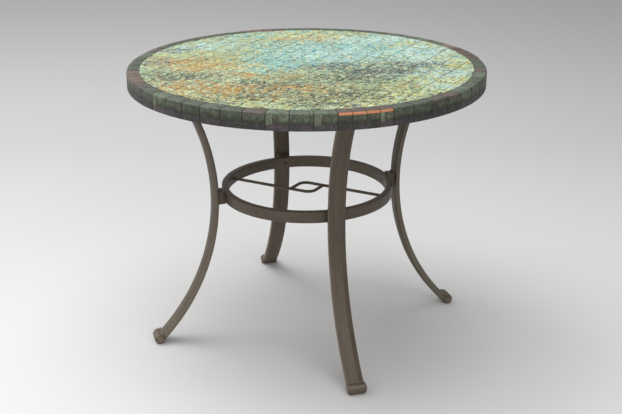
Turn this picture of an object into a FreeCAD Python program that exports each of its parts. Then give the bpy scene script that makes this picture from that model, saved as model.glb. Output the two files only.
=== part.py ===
# Round table: a slate mosaic top on four bowed iron legs.
#
# The top is a wooden disc under a mortar bed that carries square slate tiles in a
# grid. Its rim is a ring of slate edge tiles, with four short runs of copper
# tiles, one over each leg. The legs are flat bars bowed in towards the axis, with
# rolled ends as feet. They are welded to plates under the top, and a flat hoop
# joins them at the waist. Two bent rods cross the hoop and leave an eye between
# them for an umbrella pole.
#
# Frame: +Z up, origin on the floor on the table's axis. The tile grid and the
# rods run along X, and the legs stand at 45 degrees to it. All sizes are
# millimetres.

import FreeCAD, Part
import math
import os
import Sketcher

Vector = FreeCAD.Vector
Rotation = FreeCAD.Rotation
Placement = FreeCAD.Placement

ORIGIN = Vector(0, 0, 0)
UP = Vector(0, 0, 1)
FULL_TURN = 360.0
HALF_TURN = 180.0
QUARTER_TURN = 90.0
ALONG_X = Rotation(Vector(0, 1, 0), QUARTER_TURN)
AGAINST_Y = Rotation(Vector(1, 0, 0), QUARTER_TURN)
FIRST_LEG_ANGLE = 45.0
LEG_COUNT = 4
LEG_PLACES = ("back_right", "back_left", "front_left", "front_right")
SIDE_PLACES = ("back", "left", "front", "right")

# Driving dimensions, one alias each
DRIVING_SIZES = (
    ("table_height", 730.0, "floor to the tiles' top face"),
    ("top_diameter", 914.4, "36 inch top over the rim"),
    ("edge_height", 41.0, "rim's side, top to bottom"),
    ("rim_width", 31.75, "rim's top face, 1 1/4 inch"),
    ("edge_wall", 10.0, "thickness of the rim tiles' side"),
    ("edge_round", 5.5, "rounding of the slate rim's top corner"),
    ("rim_joint", 0.8, "joint between rim tiles, and round the field"),
    ("slate_edge_tiles", 11, "slate rim tiles between two copper runs"),
    ("copper_tiles", 4, "copper tiles in a run"),
    ("copper_tile_length", 31.75, "copper tile along the edge"),
    ("copper_thickness", 6.35, "copper tile, 1/4 inch"),
    ("copper_bevel", 1.2, "bevel of the copper tile's outer edge"),
    ("tile_pitch", 50.8, "grid of the field tiles, 2 inch"),
    ("sheet_tiles", 6, "tiles along each side of a 12 inch mosaic sheet"),
    ("tile_thickness", 9.5, "slate tile"),
    ("fine_joint", 0.7, "field joint on the even grid lines"),
    ("wide_joint", 1.2, "field joint on the odd grid lines"),
    ("joint_recess", 0.8, "grout below the tiles' faces"),
    ("mortar_thickness", 3.0, "mortar bed under the tiles"),
    ("edge_bond", 1.5, "mortar between the core's edge and the rim"),
    ("core_thickness", 25.4, "wooden core, 1 inch"),
    ("leg_width", 44.0, "flat bar of the leg"),
    ("leg_thickness", 18.3, "bar at its flat middle band"),
    ("leg_edge_step", 3.5, "bar's edges below its middle band, on each face"),
    ("leg_band_width", 21.0, "flat middle band"),
    ("leg_corner", 1.2, "worn corners of the bar"),
    ("waist_inset", 205.7, "rim's edge in to the bar's middle line at the waist"),
    ("waist_offset", 45.25, "waist, hoop and rods above the leg's middle height"),
    ("foot_inset", 40.4, "rim's edge in to the rolled end's axis"),
    ("foot_roll_diameter", 28.0, "rolled end of the bar"),
    ("foot_roll_length", 48.5, "rolled end along its axis"),
    ("foot_roll_rounding", 8.0, "rounded rims of the rolled end"),
    ("foot_flat_depth", 0.6, "wear flat under the roll"),
    ("hoop_thickness", 16.0, "hoop's radial thickness"),
    ("hoop_height", 29.0, "hoop's height"),
    ("hoop_corner", 1.0, "worn corners of the hoop"),
    ("lug_depth", 15.6, "block between hoop and leg, radially"),
    ("lug_width", 30.0, "block between hoop and leg"),
    ("lug_height", 35.0, "block between hoop and leg"),
    ("rod_diameter", 8.0, "round rods across the hoop"),
    ("rod_offset", 32.0, "rod's middle line to the axis"),
    ("rod_turn_place", 30.0, "along X, where a rod's bend would have its corner"),
    ("rod_meet_place", 32.0, "along X, where a rod's end meets the other rod"),
    ("rod_bend_radius", 22.0, "bend of the rod's middle line"),
    ("hoop_screw_diameter", 4.0, "M4 cap screw"),
    ("lug_end_wall", 4.0, "lug left whole past the end of its screw"),
    ("hoop_head_diameter", 7.0, "M4 cap screw"),
    ("hoop_head_height", 4.0, "M4 cap screw"),
    ("hoop_head_recess", 2.0, "head below the hoop's inner wall"),
    ("hoop_head_gap", 0.3, "clearance round the head"),
    ("plate_length", 80.0, "leg's mounting plate, radially"),
    ("plate_width", 70.0, "leg's mounting plate, across"),
    ("plate_thickness", 5.0, "leg's mounting plate"),
    ("plate_hole_inset", 12.0, "hole centres from the plate's sides"),
    ("plate_screw_diameter", 6.0, "M6 screw"),
    ("plate_screw_length", 16.0, "M6 screw under its head"),
    ("plate_head_diameter", 11.0, "M6 button head"),
    ("plate_head_height", 3.3, "M6 button head"),
    ("insert_diameter", 10.0, "threaded insert in the core"),
    ("insert_length", 13.0, "threaded insert in the core"),
    ("screw_clearance", 0.3, "gap round a screw in a plain hole"),
    ("thread_clearance", 0.05, "gap left for a screw's thread"),
)

# A field tile cut by the rim is left out when less than this share of it remains
SLIVER_SHARE = 0.03

# Sizes that follow from the driving ones: heights, radii from the table's axis,
# the leg's bow through its waist and foot, and the angles of the rim tiles
DERIVED_SIZES = (
    ("top_radius", "Sizes.top_diameter / 2"),
    ("field_radius", "top_radius - Sizes.rim_width"),
    ("tile_bottom", "Sizes.table_height - Sizes.tile_thickness"),
    ("mortar_bottom", "tile_bottom - Sizes.mortar_thickness"),
    ("core_bottom", "mortar_bottom - Sizes.core_thickness"),
    ("edge_bottom", "Sizes.table_height - Sizes.edge_height"),
    ("copper_bottom", "Sizes.table_height - Sizes.copper_thickness"),
    ("edge_inner_radius", "top_radius - Sizes.edge_wall"),
    ("core_radius", "edge_inner_radius - Sizes.edge_bond"),
    ("joint_angle", "Sizes.rim_joint / top_radius * 180 / pi"),
    ("copper_step", "joint_angle + Sizes.copper_tile_length / top_radius * 180 / pi"),
    ("copper_run", "Sizes.copper_tiles * copper_step"),
    ("slate_step", "(90 - copper_run) / Sizes.slate_edge_tiles"),
    ("leg_top", "core_bottom - Sizes.plate_thickness"),
    ("foot_radius", "Sizes.foot_roll_diameter / 2"),
    ("foot_centre_height", "foot_radius - Sizes.foot_flat_depth"),
    ("foot_place", "top_radius - Sizes.foot_inset"),
    ("waist_radius", "top_radius - Sizes.waist_inset"),
    ("waist_height", "(foot_centre_height + leg_top) / 2 + Sizes.waist_offset"),
    ("foot_drop", "waist_height - foot_centre_height"),
    ("foot_reach", "foot_place - waist_radius"),
    ("roll_step", "Sizes.leg_thickness / 2 - foot_radius"),
    ("bow_radius", "(foot_reach ^ 2 + foot_drop ^ 2 - roll_step ^ 2) / (2 * (foot_reach + roll_step))"),
    ("bow_centre", "waist_radius + bow_radius"),
    ("bow_inner_radius", "bow_radius + Sizes.leg_thickness / 2"),
    ("leg_rise", "leg_top - waist_height"),
    ("leg_top_place", "bow_centre - sqrt(bow_radius ^ 2 - leg_rise ^ 2)"),
    ("leg_inner_face", "waist_radius - Sizes.leg_thickness / 2"),
    ("hoop_radius", "leg_inner_face - Sizes.lug_depth"),
    ("hoop_bore_radius", "hoop_radius - Sizes.hoop_thickness"),
    ("hoop_low", "waist_height - Sizes.hoop_height / 2"),
    ("hoop_high", "waist_height + Sizes.hoop_height / 2"),
    ("head_seat_radius", "hoop_bore_radius + Sizes.hoop_head_recess + Sizes.hoop_head_height"),
    ("screw_end_radius", "leg_inner_face - Sizes.lug_end_wall"),
    ("hoop_screw_length", "screw_end_radius - head_seat_radius"),
    ("insert_bore", "Sizes.plate_screw_diameter + 2 * Sizes.thread_clearance"),
    ("plate_hole_reach", "Sizes.plate_length / 2 - Sizes.plate_hole_inset"),
    ("plate_hole_spread", "Sizes.plate_width / 2 - Sizes.plate_hole_inset"),
)

doc = FreeCAD.newDocument("round_table")
sheet = doc.addObject("Spreadsheet::Sheet", "Sizes")
for line, (alias, value, meaning) in enumerate(DRIVING_SIZES, start=1):
    sheet.set("A%d" % line, str(value))
    sheet.setAlias("A%d" % line, alias)
    sheet.set("B%d" % line, meaning)
doc.recompute()
derived = doc.addObject("Spreadsheet::Sheet", "Derived")
for line, (alias, formula) in enumerate(DERIVED_SIZES, start=1):
    derived.set("A%d" % line, "=" + formula)
    derived.setAlias("A%d" % line, alias)
    doc.recompute([derived])
doc.recompute()


def size(expression):
    """Value of an expression of the two sheets' sizes."""
    return float(sheet.evalExpression(expression))


parts = []


def add_part(item, name, angle=0.0):
    """Name a finished sub-part, turn it about the table's axis and list it."""
    item.Label = name
    item.Placement = Placement(ORIGIN, Rotation(UP, angle)).multiply(item.Placement)
    parts.append(item)
    return item


def new_body(name):
    """Empty body for one piece."""
    return doc.addObject("PartDesign::Body", name)


def new_sketch(body, name, plane, **offsets):
    """Sketch on one of its body's origin planes, offset by expressions."""
    sketch = body.newObject("Sketcher::SketchObject", name)
    roles = {feature.Role: feature for feature in body.Origin.OriginFeatures}
    sketch.AttachmentSupport = (roles[plane], [""])
    sketch.MapMode = "FlatFace"
    for axis, expression in offsets.items():
        sketch.setExpression("AttachmentOffset.Base.%s" % axis, expression)
    return sketch


def bind(sketch, kind, geometry, point, expression):
    """Hold a point's X or Y distance from the sketch's origin to an expression."""
    index = sketch.addConstraint(Sketcher.Constraint(kind, -1, 1, geometry, point, size(expression)))
    sketch.setExpression("Constraints[%d]" % index, expression)


def draw_outline(sketch, corners):
    """Closed straight-sided outline through corners given as pairs of expressions."""
    places = [Vector(size(across), size(along), 0) for across, along in corners]
    first = sketch.GeometryCount
    count = len(places)
    for index, place in enumerate(places):
        following = places[(index + 1) % count]
        sketch.addGeometry(Part.LineSegment(place, following), False)
    for index in range(count):
        following = first + (index + 1) % count
        sketch.addConstraint(Sketcher.Constraint("Coincident", first + index, 2, following, 1))
    for index, (across, along) in enumerate(corners):
        bind(sketch, "DistanceX", first + index, 1, across)
        bind(sketch, "DistanceY", first + index, 1, along)


def draw_circle(sketch, across, along, diameter):
    """Circle whose centre and diameter are expressions."""
    centre = Vector(size(across), size(along), 0)
    circle = sketch.addGeometry(Part.Circle(centre, UP, size(diameter) / 2), False)
    bind(sketch, "DistanceX", circle, 3, across)
    bind(sketch, "DistanceY", circle, 3, along)
    index = sketch.addConstraint(Sketcher.Constraint("Diameter", circle, size(diameter)))
    sketch.setExpression("Constraints[%d]" % index, diameter)


def pad(body, name, sketch, length):
    """Pad a sketch by an expression."""
    feature = body.newObject("PartDesign::Pad", name)
    feature.Profile = sketch
    feature.setExpression("Length", length)
    return feature


def pocket(body, name, sketch, length):
    """Pocket a sketch by an expression, the way that its normal points."""
    feature = body.newObject("PartDesign::Pocket", name)
    feature.Profile = sketch
    feature.setExpression("Length", length)
    feature.Reversed = True
    return feature


def revolve(body, name, sketch):
    """Revolve a sketch a full turn about its own upright axis."""
    feature = body.newObject("PartDesign::Revolution", name)
    feature.Profile = sketch
    feature.ReferenceAxis = (sketch, ["V_Axis"])
    feature.Angle = FULL_TURN
    return feature


def repeat_round(body, name, feature):
    """Repeat a feature of a body for each leg, about the table's axis."""
    pattern = body.newObject("PartDesign::PolarPattern", name)
    pattern.Originals = [feature]
    roles = {item.Role: item for item in body.Origin.OriginFeatures}
    pattern.Axis = (roles["Z_Axis"], [""])
    pattern.Angle = FULL_TURN
    pattern.Occurrences = LEG_COUNT
    body.Tip = pattern
    return pattern


def cylinder(name, radius, height, base, rotation=Rotation()):
    """Cylinder from a base point, given as three expressions, upright or turned."""
    item = doc.addObject("Part::Cylinder", name)
    item.setExpression("Radius", radius)
    item.setExpression("Height", height)
    item.Placement = Placement(ORIGIN, rotation)
    for letter, expression in zip("xyz", base):
        item.setExpression("Placement.Base.%s" % letter, expression)
    return item


def box(name, lengths, base):
    """Box with its low corner and its three lengths given as expressions."""
    item = doc.addObject("Part::Box", name)
    for prop, expression in zip(("Length", "Width", "Height"), lengths):
        item.setExpression(prop, expression)
    for letter, expression in zip("xyz", base):
        item.setExpression("Placement.Base.%s" % letter, expression)
    return item


def boolean(kind, name, base, tool):
    """Part::Cut or Part::Common of two objects."""
    item = doc.addObject("Part::%s" % kind, name)
    item.Base = base
    item.Tool = tool
    return item


def solid_group(name, solids):
    """One node that holds several separate solids, made from the sheet's sizes."""
    item = doc.addObject("Part::Feature", name)
    item.Shape = Part.makeCompound(solids)
    return add_part(item, name)


def leg_angles():
    """Angle of each leg about the table's axis."""
    return [FIRST_LEG_ANGLE + QUARTER_TURN * index for index in range(LEG_COUNT)]


# Field tiles

def grid_joint(line):
    """Joint width on a grid line, counted from the table's axis."""
    return size("Sizes.wide_joint") if line % 2 else size("Sizes.fine_joint")


def grid_span(index):
    """Low and high side of a tile between grid lines index and index + 1."""
    pitch = size("Sizes.tile_pitch")
    low = index * pitch + grid_joint(index) / 2
    high = (index + 1) * pitch - grid_joint(index + 1) / 2
    return low, high


def tile_face(column, row, field_disc, tile_radius):
    """Flat outline of one field tile, cut by the rim where it crosses it."""
    left, right = grid_span(column)
    near, far = grid_span(row)
    corners = [(left, near), (right, near), (right, far), (left, far)]
    outline = Part.makePolygon([Vector(*corner, 0) for corner in corners + corners[:1]])
    square = Part.Face(outline)
    if max(math.hypot(*corner) for corner in corners) <= tile_radius:
        return square
    cut_tile = square.common(field_disc)
    if cut_tile.Area < SLIVER_SHARE * square.Area:
        return None
    return cut_tile.Faces[0]


def sheet_name(row, column):
    """Name of a mosaic sheet from its place, counted from the table's axis."""
    depth = "back%d" % (row + 1) if row >= 0 else "front%d" % -row
    side = "right%d" % (column + 1) if column >= 0 else "left%d" % -column
    return "field_sheet_%s_%s" % (depth, side)


def tile_sheets():
    """Flat outlines of all field tiles, as a list for each mosaic sheet."""
    tile_radius = size("Derived.field_radius - Sizes.rim_joint")
    tiles_in_sheet = int(size("Sizes.sheet_tiles"))
    reach = math.ceil(tile_radius / size("Sizes.tile_pitch"))
    field_disc = Part.Face(Part.Wire(Part.makeCircle(tile_radius)))
    sheets = {}
    for row in range(-reach, reach):
        for column in range(-reach, reach):
            face = tile_face(column, row, field_disc, tile_radius)
            if face:
                name = sheet_name(row // tiles_in_sheet, column // tiles_in_sheet)
                sheets.setdefault(name, []).append(face)
    return sheets


def make_field(sheets):
    """A node for each sheet of slate tiles, and the grout between all of them."""
    bottom = Vector(0, 0, size("Derived.tile_bottom"))
    tile_height = UP * size("Sizes.tile_thickness")
    grout_height = UP * size("Sizes.tile_thickness - Sizes.joint_recess")
    for name, faces in sheets.items():
        solid_group(name, [face.translated(bottom).extrude(tile_height) for face in faces])
    outlines = [Part.Wire(Part.makeCircle(size("Derived.field_radius")))]
    outlines += [face.OuterWire for faces in sheets.values() for face in faces]
    net = Part.makeFace(outlines, "Part::FaceMakerBullseye")
    solid_group("field_grout", net.translated(bottom).extrude(grout_height).Solids)


# Rim

def turned_solid(profile, start, angle):
    """Solid of a flat profile in the XZ plane, turned about the table's axis."""
    solid = profile.revolve(ORIGIN, UP, angle)
    solid.rotate(ORIGIN, UP, start)
    return solid


def flat_profile(corners):
    """Face in the XZ plane through corners given as radius and height."""
    places = [Vector(radius, 0, height) for radius, height in corners]
    return Part.Face(Part.makePolygon(places + places[:1]))


def edge_profile(inset=0.0):
    """Section of a slate rim tile: top and side in one, with a rounded corner.

    The grout in a joint has the same section, inset from the faces that show.
    """
    outer = size("Derived.top_radius") - inset
    top = size("Sizes.table_height") - inset
    inner = size("Derived.field_radius")
    wall = size("Derived.edge_inner_radius")
    seat = size("Derived.tile_bottom")
    bottom = size("Derived.edge_bottom")
    rounding = size("Sizes.edge_round") - inset
    diagonal = rounding * (1 - math.sqrt(0.5))
    flat_end = Vector(outer - rounding, 0, top)
    middle = Vector(outer - diagonal, 0, top - diagonal)
    side_start = Vector(outer, 0, top - rounding)
    rest = [(outer, bottom), (wall, bottom), (wall, seat), (inner, seat), (inner, top)]
    places = [side_start] + [Vector(radius, 0, height) for radius, height in rest] + [flat_end]
    corner = Part.Arc(flat_end, middle, side_start).toShape()
    return Part.Face(Part.Wire([corner] + Part.makePolygon(places).Edges))


def copper_profile():
    """Section of a copper tile, with its outer top edge bevelled."""
    outer = size("Derived.top_radius")
    top = size("Sizes.table_height")
    bevel = size("Sizes.copper_bevel")
    seat = size("Derived.copper_bottom")
    inner = size("Derived.field_radius")
    bevelled = [(outer, top - bevel), (outer - bevel, top)]
    return flat_profile([(inner, seat), (outer, seat)] + bevelled + [(inner, top)])


def skirt_profile():
    """Section of the slate piece under a copper tile."""
    outer = size("Derived.top_radius")
    wall = size("Derived.edge_inner_radius")
    top = size("Derived.copper_bottom")
    bottom = size("Derived.edge_bottom")
    return flat_profile([(wall, bottom), (outer, bottom), (outer, top), (wall, top)])


def copper_joint_profile():
    """Section of the grout between two copper tiles and their slate pieces."""
    inset = size("Sizes.joint_recess")
    outer = size("Derived.top_radius") - inset
    top = size("Sizes.table_height") - inset
    seat = size("Derived.copper_bottom")
    inner = size("Derived.field_radius")
    wall = size("Derived.edge_inner_radius")
    bottom = size("Derived.edge_bottom")
    corners = [(inner, seat), (wall, seat), (wall, bottom), (outer, bottom), (outer, top), (inner, top)]
    return flat_profile(corners)


def tile_run(name, profile, start, step, count):
    """Node of equal rim tiles side by side, with a joint between each two."""
    gap = size("Derived.joint_angle")
    starts = [start + step * index + gap / 2 for index in range(count)]
    solid_group(name, [turned_solid(profile, tile_start, step - gap) for tile_start in starts])


def joint_run(profile, start, step, count):
    """Grout of equally spaced rim joints, the first one centred on the start."""
    gap = size("Derived.joint_angle")
    return [turned_solid(profile, start + step * index - gap / 2, gap) for index in range(count)]


def make_rim():
    """Slate edge tiles, copper tiles with the slate under them, and the grout."""
    copper_step = size("Derived.copper_step")
    slate_step = size("Derived.slate_step")
    half_run = size("Derived.copper_run / 2")
    copper_count = int(size("Sizes.copper_tiles"))
    slate_count = int(size("Sizes.slate_edge_tiles"))
    slate_joint = edge_profile(size("Sizes.joint_recess"))
    copper_joint = copper_joint_profile()
    grout = []
    for place, side, angle in zip(LEG_PLACES, SIDE_PLACES, leg_angles()):
        copper_start = angle - half_run
        slate_start = angle + half_run
        tile_run("slate_rim_%s" % side, edge_profile(), slate_start, slate_step, slate_count)
        tile_run("copper_rim_%s" % place, copper_profile(), copper_start, copper_step, copper_count)
        tile_run("copper_skirt_%s" % place, skirt_profile(), copper_start, copper_step, copper_count)
        grout += joint_run(slate_joint, slate_start, slate_step, slate_count + 1)
        grout += joint_run(copper_joint, copper_start + copper_step, copper_step, copper_count - 1)
    solid_group("rim_grout", grout)


# Mortar and core

def make_mortar():
    """Mortar bed over the core and down its edge, thicker under the copper runs."""
    body = new_body("MortarBed")
    section = new_sketch(body, "BedSection", "XZ_Plane")
    draw_outline(section, [
        ("0", "Derived.mortar_bottom"),
        ("Derived.core_radius", "Derived.mortar_bottom"),
        ("Derived.core_radius", "Derived.core_bottom"),
        ("Derived.edge_inner_radius", "Derived.core_bottom"),
        ("Derived.edge_inner_radius", "Derived.tile_bottom"),
        ("0", "Derived.tile_bottom"),
    ])
    revolve(body, "Bed", section)
    run_section = new_sketch(body, "CopperBedSection", "XZ_Plane")
    draw_outline(run_section, [
        ("Derived.field_radius", "Derived.mortar_bottom"),
        ("Derived.edge_inner_radius", "Derived.mortar_bottom"),
        ("Derived.edge_inner_radius", "Derived.copper_bottom"),
        ("Derived.field_radius", "Derived.copper_bottom"),
    ])
    run_bed = body.newObject("PartDesign::Revolution", "CopperBed")
    run_bed.Profile = run_section
    run_bed.ReferenceAxis = (run_section, ["V_Axis"])
    run_bed.Midplane = True
    run_bed.setExpression("Angle", "Derived.copper_run - Derived.joint_angle")
    repeat_round(body, "CopperBeds", run_bed)
    add_part(body, "mortar_bed", FIRST_LEG_ANGLE)


def draw_plate_holes(sketch, diameter):
    """Four holes at the corners of a mounting plate."""
    for sign in ("+", "-"):
        across = "Derived.leg_top_place %s Derived.plate_hole_reach" % sign
        draw_circle(sketch, across, "Derived.plate_hole_spread", diameter)
        draw_circle(sketch, across, "-1 * Derived.plate_hole_spread", diameter)


def make_core():
    """Wooden core disc with the blind holes of its threaded inserts."""
    body = new_body("CoreBoard")
    disc = new_sketch(body, "DiscOutline", "XY_Plane", z="Derived.core_bottom")
    draw_circle(disc, "0", "0", "2 * Derived.core_radius")
    pad(body, "Disc", disc, "Sizes.core_thickness")
    holes = new_sketch(body, "InsertHoles", "XY_Plane", z="Derived.core_bottom")
    draw_plate_holes(holes, "Sizes.insert_diameter")
    hole_depth = "max(Sizes.insert_length; Sizes.plate_screw_length - Sizes.plate_thickness)"
    cut = pocket(body, "InsertBores", holes, hole_depth)
    repeat_round(body, "AllInsertBores", cut)
    add_part(body, "core_board", FIRST_LEG_ANGLE)


# Legs

def leg_section():
    """Corners of a quarter of the bar's section, whose flanks slope from its flat band."""
    middle = "Sizes.leg_thickness / 2"
    edge = "(Sizes.leg_thickness / 2 - Sizes.leg_edge_step)"
    band = "Sizes.leg_band_width / 2"
    width = "Sizes.leg_width / 2"
    corner = "Sizes.leg_corner"
    return [
        (middle, band),
        (edge, "%s - %s" % (width, corner)),
        ("%s - %s" % (edge, corner), width),
    ]


def draw_leg_section(sketch):
    """Whole section: a bar with a flat band between two sloping flanks on both faces."""
    quarter = leg_section()
    bow = "Derived.bow_radius"
    corners = [("-1 * (%s) + %s" % (bow, out), side) for out, side in quarter]
    corners += [("-1 * (%s) - (%s)" % (bow, out), side) for out, side in reversed(quarter)]
    corners += [("-1 * (%s) - (%s)" % (bow, out), "-1 * (%s)" % side) for out, side in quarter]
    corners += [("-1 * (%s) + %s" % (bow, out), "-1 * (%s)" % side) for out, side in reversed(quarter)]
    draw_outline(sketch, corners)


def roll_outline():
    """Corners of half the rolled end, from one end to the other, with rounded rims."""
    radius = "Derived.foot_radius"
    half = "Sizes.foot_roll_length / 2"
    rounding = "Sizes.foot_roll_rounding"
    shoulder = "(1 - sqrt(0.5)) * Sizes.foot_roll_rounding"
    rim = [
        ("0", half),
        ("%s - %s" % (radius, rounding), half),
        ("%s - %s" % (radius, shoulder), "%s - %s" % (half, shoulder)),
        (radius, "%s - %s" % (half, rounding)),
    ]
    return rim + [(across, "-1 * (%s)" % along) for across, along in reversed(rim)]


def make_leg(place, angle):
    """Bowed flat bar with a rolled foot, cut level at the floor and at its plate."""
    body = new_body("LegBlank")
    section = new_sketch(body, "BarSection", "XY_Plane", x="Derived.bow_centre", z="Derived.waist_height")
    draw_leg_section(section)
    bar = body.newObject("PartDesign::Revolution", "BowedBar")
    bar.Profile = section
    bar.ReferenceAxis = (section, ["V_Axis"])
    bar.Type = "TwoAngles"
    bar.setExpression("Angle", "asin((Derived.leg_rise + Sizes.leg_thickness) / Derived.bow_radius)")
    bar.setExpression("Angle2", "asin(Derived.foot_drop / (Derived.bow_radius + Derived.roll_step))")
    roll = new_sketch(body, "RollOutline", "XY_Plane", x="Derived.foot_place", z="Derived.foot_centre_height")
    draw_outline(roll, roll_outline())
    revolve(body, "RolledEnd", roll)
    envelope = box(
        "LegEnvelope",
        ("Derived.foot_place + Sizes.foot_roll_diameter", "2 * Sizes.foot_roll_length", "Derived.leg_top"),
        ("0", "-1 * Sizes.foot_roll_length", "0"),
    )
    add_part(boolean("Common", "Leg", body, envelope), "leg_%s" % place, angle)


def make_lug(place, angle):
    """Block between the hoop and the leg, fitted to both, drilled for the screw."""
    bore = "Derived.hoop_bore_radius"
    block = box(
        "LugBlock",
        ("Derived.waist_radius - " + bore, "Sizes.lug_width", "Sizes.lug_height"),
        (bore, "-1 * Sizes.lug_width / 2", "Derived.waist_height - Sizes.lug_height / 2"),
    )
    hoop_face = cylinder(
        "LugHoopFace", "Derived.hoop_radius", "2 * Sizes.lug_height",
        ("0", "0", "Derived.waist_height - Sizes.lug_height"),
    )
    leg_face = cylinder(
        "LugLegFace", "Derived.bow_inner_radius", "2 * Sizes.lug_width",
        ("Derived.bow_centre", "Sizes.lug_width", "Derived.waist_height"), AGAINST_Y,
    )
    screw_hole = cylinder(
        "LugScrewHole", "Sizes.hoop_screw_diameter / 2 + Sizes.thread_clearance",
        "Derived.screw_end_radius - %s + Sizes.thread_clearance" % bore,
        (bore, "0", "Derived.waist_height"), ALONG_X,
    )
    fitted = boolean("Cut", "LugAtHoop", block, hoop_face)
    seated = boolean("Cut", "LugAtLeg", fitted, leg_face)
    add_part(boolean("Cut", "Lug", seated, screw_hole), "lug_%s" % place, angle)


# Hoop and rods

def make_hoop():
    """Flat hoop with a counterbored screw hole at each leg."""
    body = new_body("Hoop")
    section = new_sketch(body, "HoopSection", "XZ_Plane")
    bore = "Derived.hoop_bore_radius"
    outside = "Derived.hoop_radius"
    draw_outline(section, [
        (bore + " + Sizes.hoop_corner", "Derived.hoop_low"),
        (outside + " - Sizes.hoop_corner", "Derived.hoop_low"),
        (outside, "Derived.hoop_low + Sizes.hoop_corner"),
        (outside, "Derived.hoop_high - Sizes.hoop_corner"),
        (outside + " - Sizes.hoop_corner", "Derived.hoop_high"),
        (bore + " + Sizes.hoop_corner", "Derived.hoop_high"),
        (bore, "Derived.hoop_high - Sizes.hoop_corner"),
        (bore, "Derived.hoop_low + Sizes.hoop_corner"),
    ])
    revolve(body, "Band", section)
    hole = new_sketch(body, "ScrewHole", "YZ_Plane")
    draw_circle(hole, "0", "Derived.waist_height", "Sizes.hoop_screw_diameter + 2 * Sizes.screw_clearance")
    drilled = pocket(body, "ScrewBore", hole, "2 * Derived.hoop_radius")
    repeat_round(body, "ScrewBores", drilled)
    sink = new_sketch(body, "HeadHole", "YZ_Plane")
    draw_circle(sink, "0", "Derived.waist_height", "Sizes.hoop_head_diameter + 2 * Sizes.hoop_head_gap")
    sunk = pocket(body, "HeadBore", sink, "Derived.head_seat_radius")
    repeat_round(body, "HeadBores", sunk)
    add_part(body, "hoop", FIRST_LEG_ANGLE)


def draw_rod_path(sketch):
    """Straight run, bend and slanting end, as a chain of tangent pieces."""
    start = Vector(size("-1 * Derived.hoop_bore_radius"), size("-1 * Sizes.rod_offset"), 0)
    corner = Vector(size("Sizes.rod_turn_place"), size("-1 * Sizes.rod_offset"), 0)
    finish = Vector(size("Sizes.rod_meet_place"), size("Sizes.rod_offset"), 0)
    turn = math.atan2(finish.y - corner.y, finish.x - corner.x)
    bend = size("Sizes.rod_bend_radius")
    setback = bend * math.tan(turn / 2)
    bend_start = corner - Vector(setback, 0, 0)
    bend_end = corner + (finish - corner).normalize() * setback
    centre = bend_start + Vector(0, bend, 0)
    arc = Part.ArcOfCircle(Part.Circle(centre, UP, bend), -math.pi / 2, turn - math.pi / 2)
    sketch.addGeometry(Part.LineSegment(start, bend_start), False)
    sketch.addGeometry(arc, False)
    sketch.addGeometry(Part.LineSegment(bend_end, finish), False)
    sketch.addGeometry(Part.Point(corner), True)
    sketch.addConstraint(Sketcher.Constraint("Tangent", 0, 2, 1, 1))
    sketch.addConstraint(Sketcher.Constraint("Tangent", 1, 2, 2, 1))
    sketch.addConstraint(Sketcher.Constraint("Horizontal", 0))
    sketch.addConstraint(Sketcher.Constraint("PointOnObject", 3, 1, 2))
    bind(sketch, "DistanceX", 0, 1, "-1 * Derived.hoop_bore_radius")
    bind(sketch, "DistanceY", 0, 1, "-1 * Sizes.rod_offset")
    bind(sketch, "DistanceX", 3, 1, "Sizes.rod_turn_place")
    bind(sketch, "DistanceY", 3, 1, "-1 * Sizes.rod_offset")
    bind(sketch, "DistanceX", 2, 2, "Sizes.rod_meet_place")
    bind(sketch, "DistanceY", 2, 2, "Sizes.rod_offset")
    radius = sketch.addConstraint(Sketcher.Constraint("Radius", 1, bend))
    sketch.setExpression("Constraints[%d]" % radius, "Sizes.rod_bend_radius")


def make_rod(name, angle):
    """Bent rod from the hoop to the other rod, with both ends cut to fit."""
    body = new_body("RodBlank")
    path = new_sketch(body, "RodPath", "XY_Plane", z="Derived.waist_height")
    draw_rod_path(path)
    section = new_sketch(body, "RodSection", "YZ_Plane", z="-1 * Derived.hoop_bore_radius")
    draw_circle(section, "-1 * Sizes.rod_offset", "Derived.waist_height", "Sizes.rod_diameter")
    pipe = body.newObject("PartDesign::AdditivePipe", "BentRod")
    pipe.Profile = section
    pipe.Spine = (path, ["Edge1", "Edge2", "Edge3"])
    other_rod = cylinder(
        "OtherRod", "Sizes.rod_diameter / 2", "2 * Derived.hoop_bore_radius",
        ("-1 * Derived.hoop_bore_radius", "Sizes.rod_offset", "Derived.waist_height"), ALONG_X,
    )
    bore = cylinder(
        "HoopBore", "Derived.hoop_bore_radius", "2 * Sizes.rod_diameter",
        ("0", "0", "Derived.waist_height - Sizes.rod_diameter"),
    )
    mitred = boolean("Cut", "MitredRod", body, other_rod)
    add_part(boolean("Common", "Rod", mitred, bore), name, angle)


# Plates and fasteners

def make_plate(place, angle):
    """Steel plate that the leg is welded to, with four screw holes."""
    body = new_body("MountingPlate")
    outline = new_sketch(body, "PlateOutline", "XY_Plane", z="Derived.leg_top")
    inner = "Derived.leg_top_place - Sizes.plate_length / 2"
    outer = "Derived.leg_top_place + Sizes.plate_length / 2"
    half = "Sizes.plate_width / 2"
    corners = [(inner, "-1 * " + half), (outer, "-1 * " + half), (outer, half), (inner, half)]
    draw_outline(outline, corners)
    draw_plate_holes(outline, "Sizes.plate_screw_diameter + 2 * Sizes.screw_clearance")
    pad(body, "Plate", outline, "Sizes.plate_thickness")
    add_part(body, "mounting_plate_%s" % place, angle)


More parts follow.
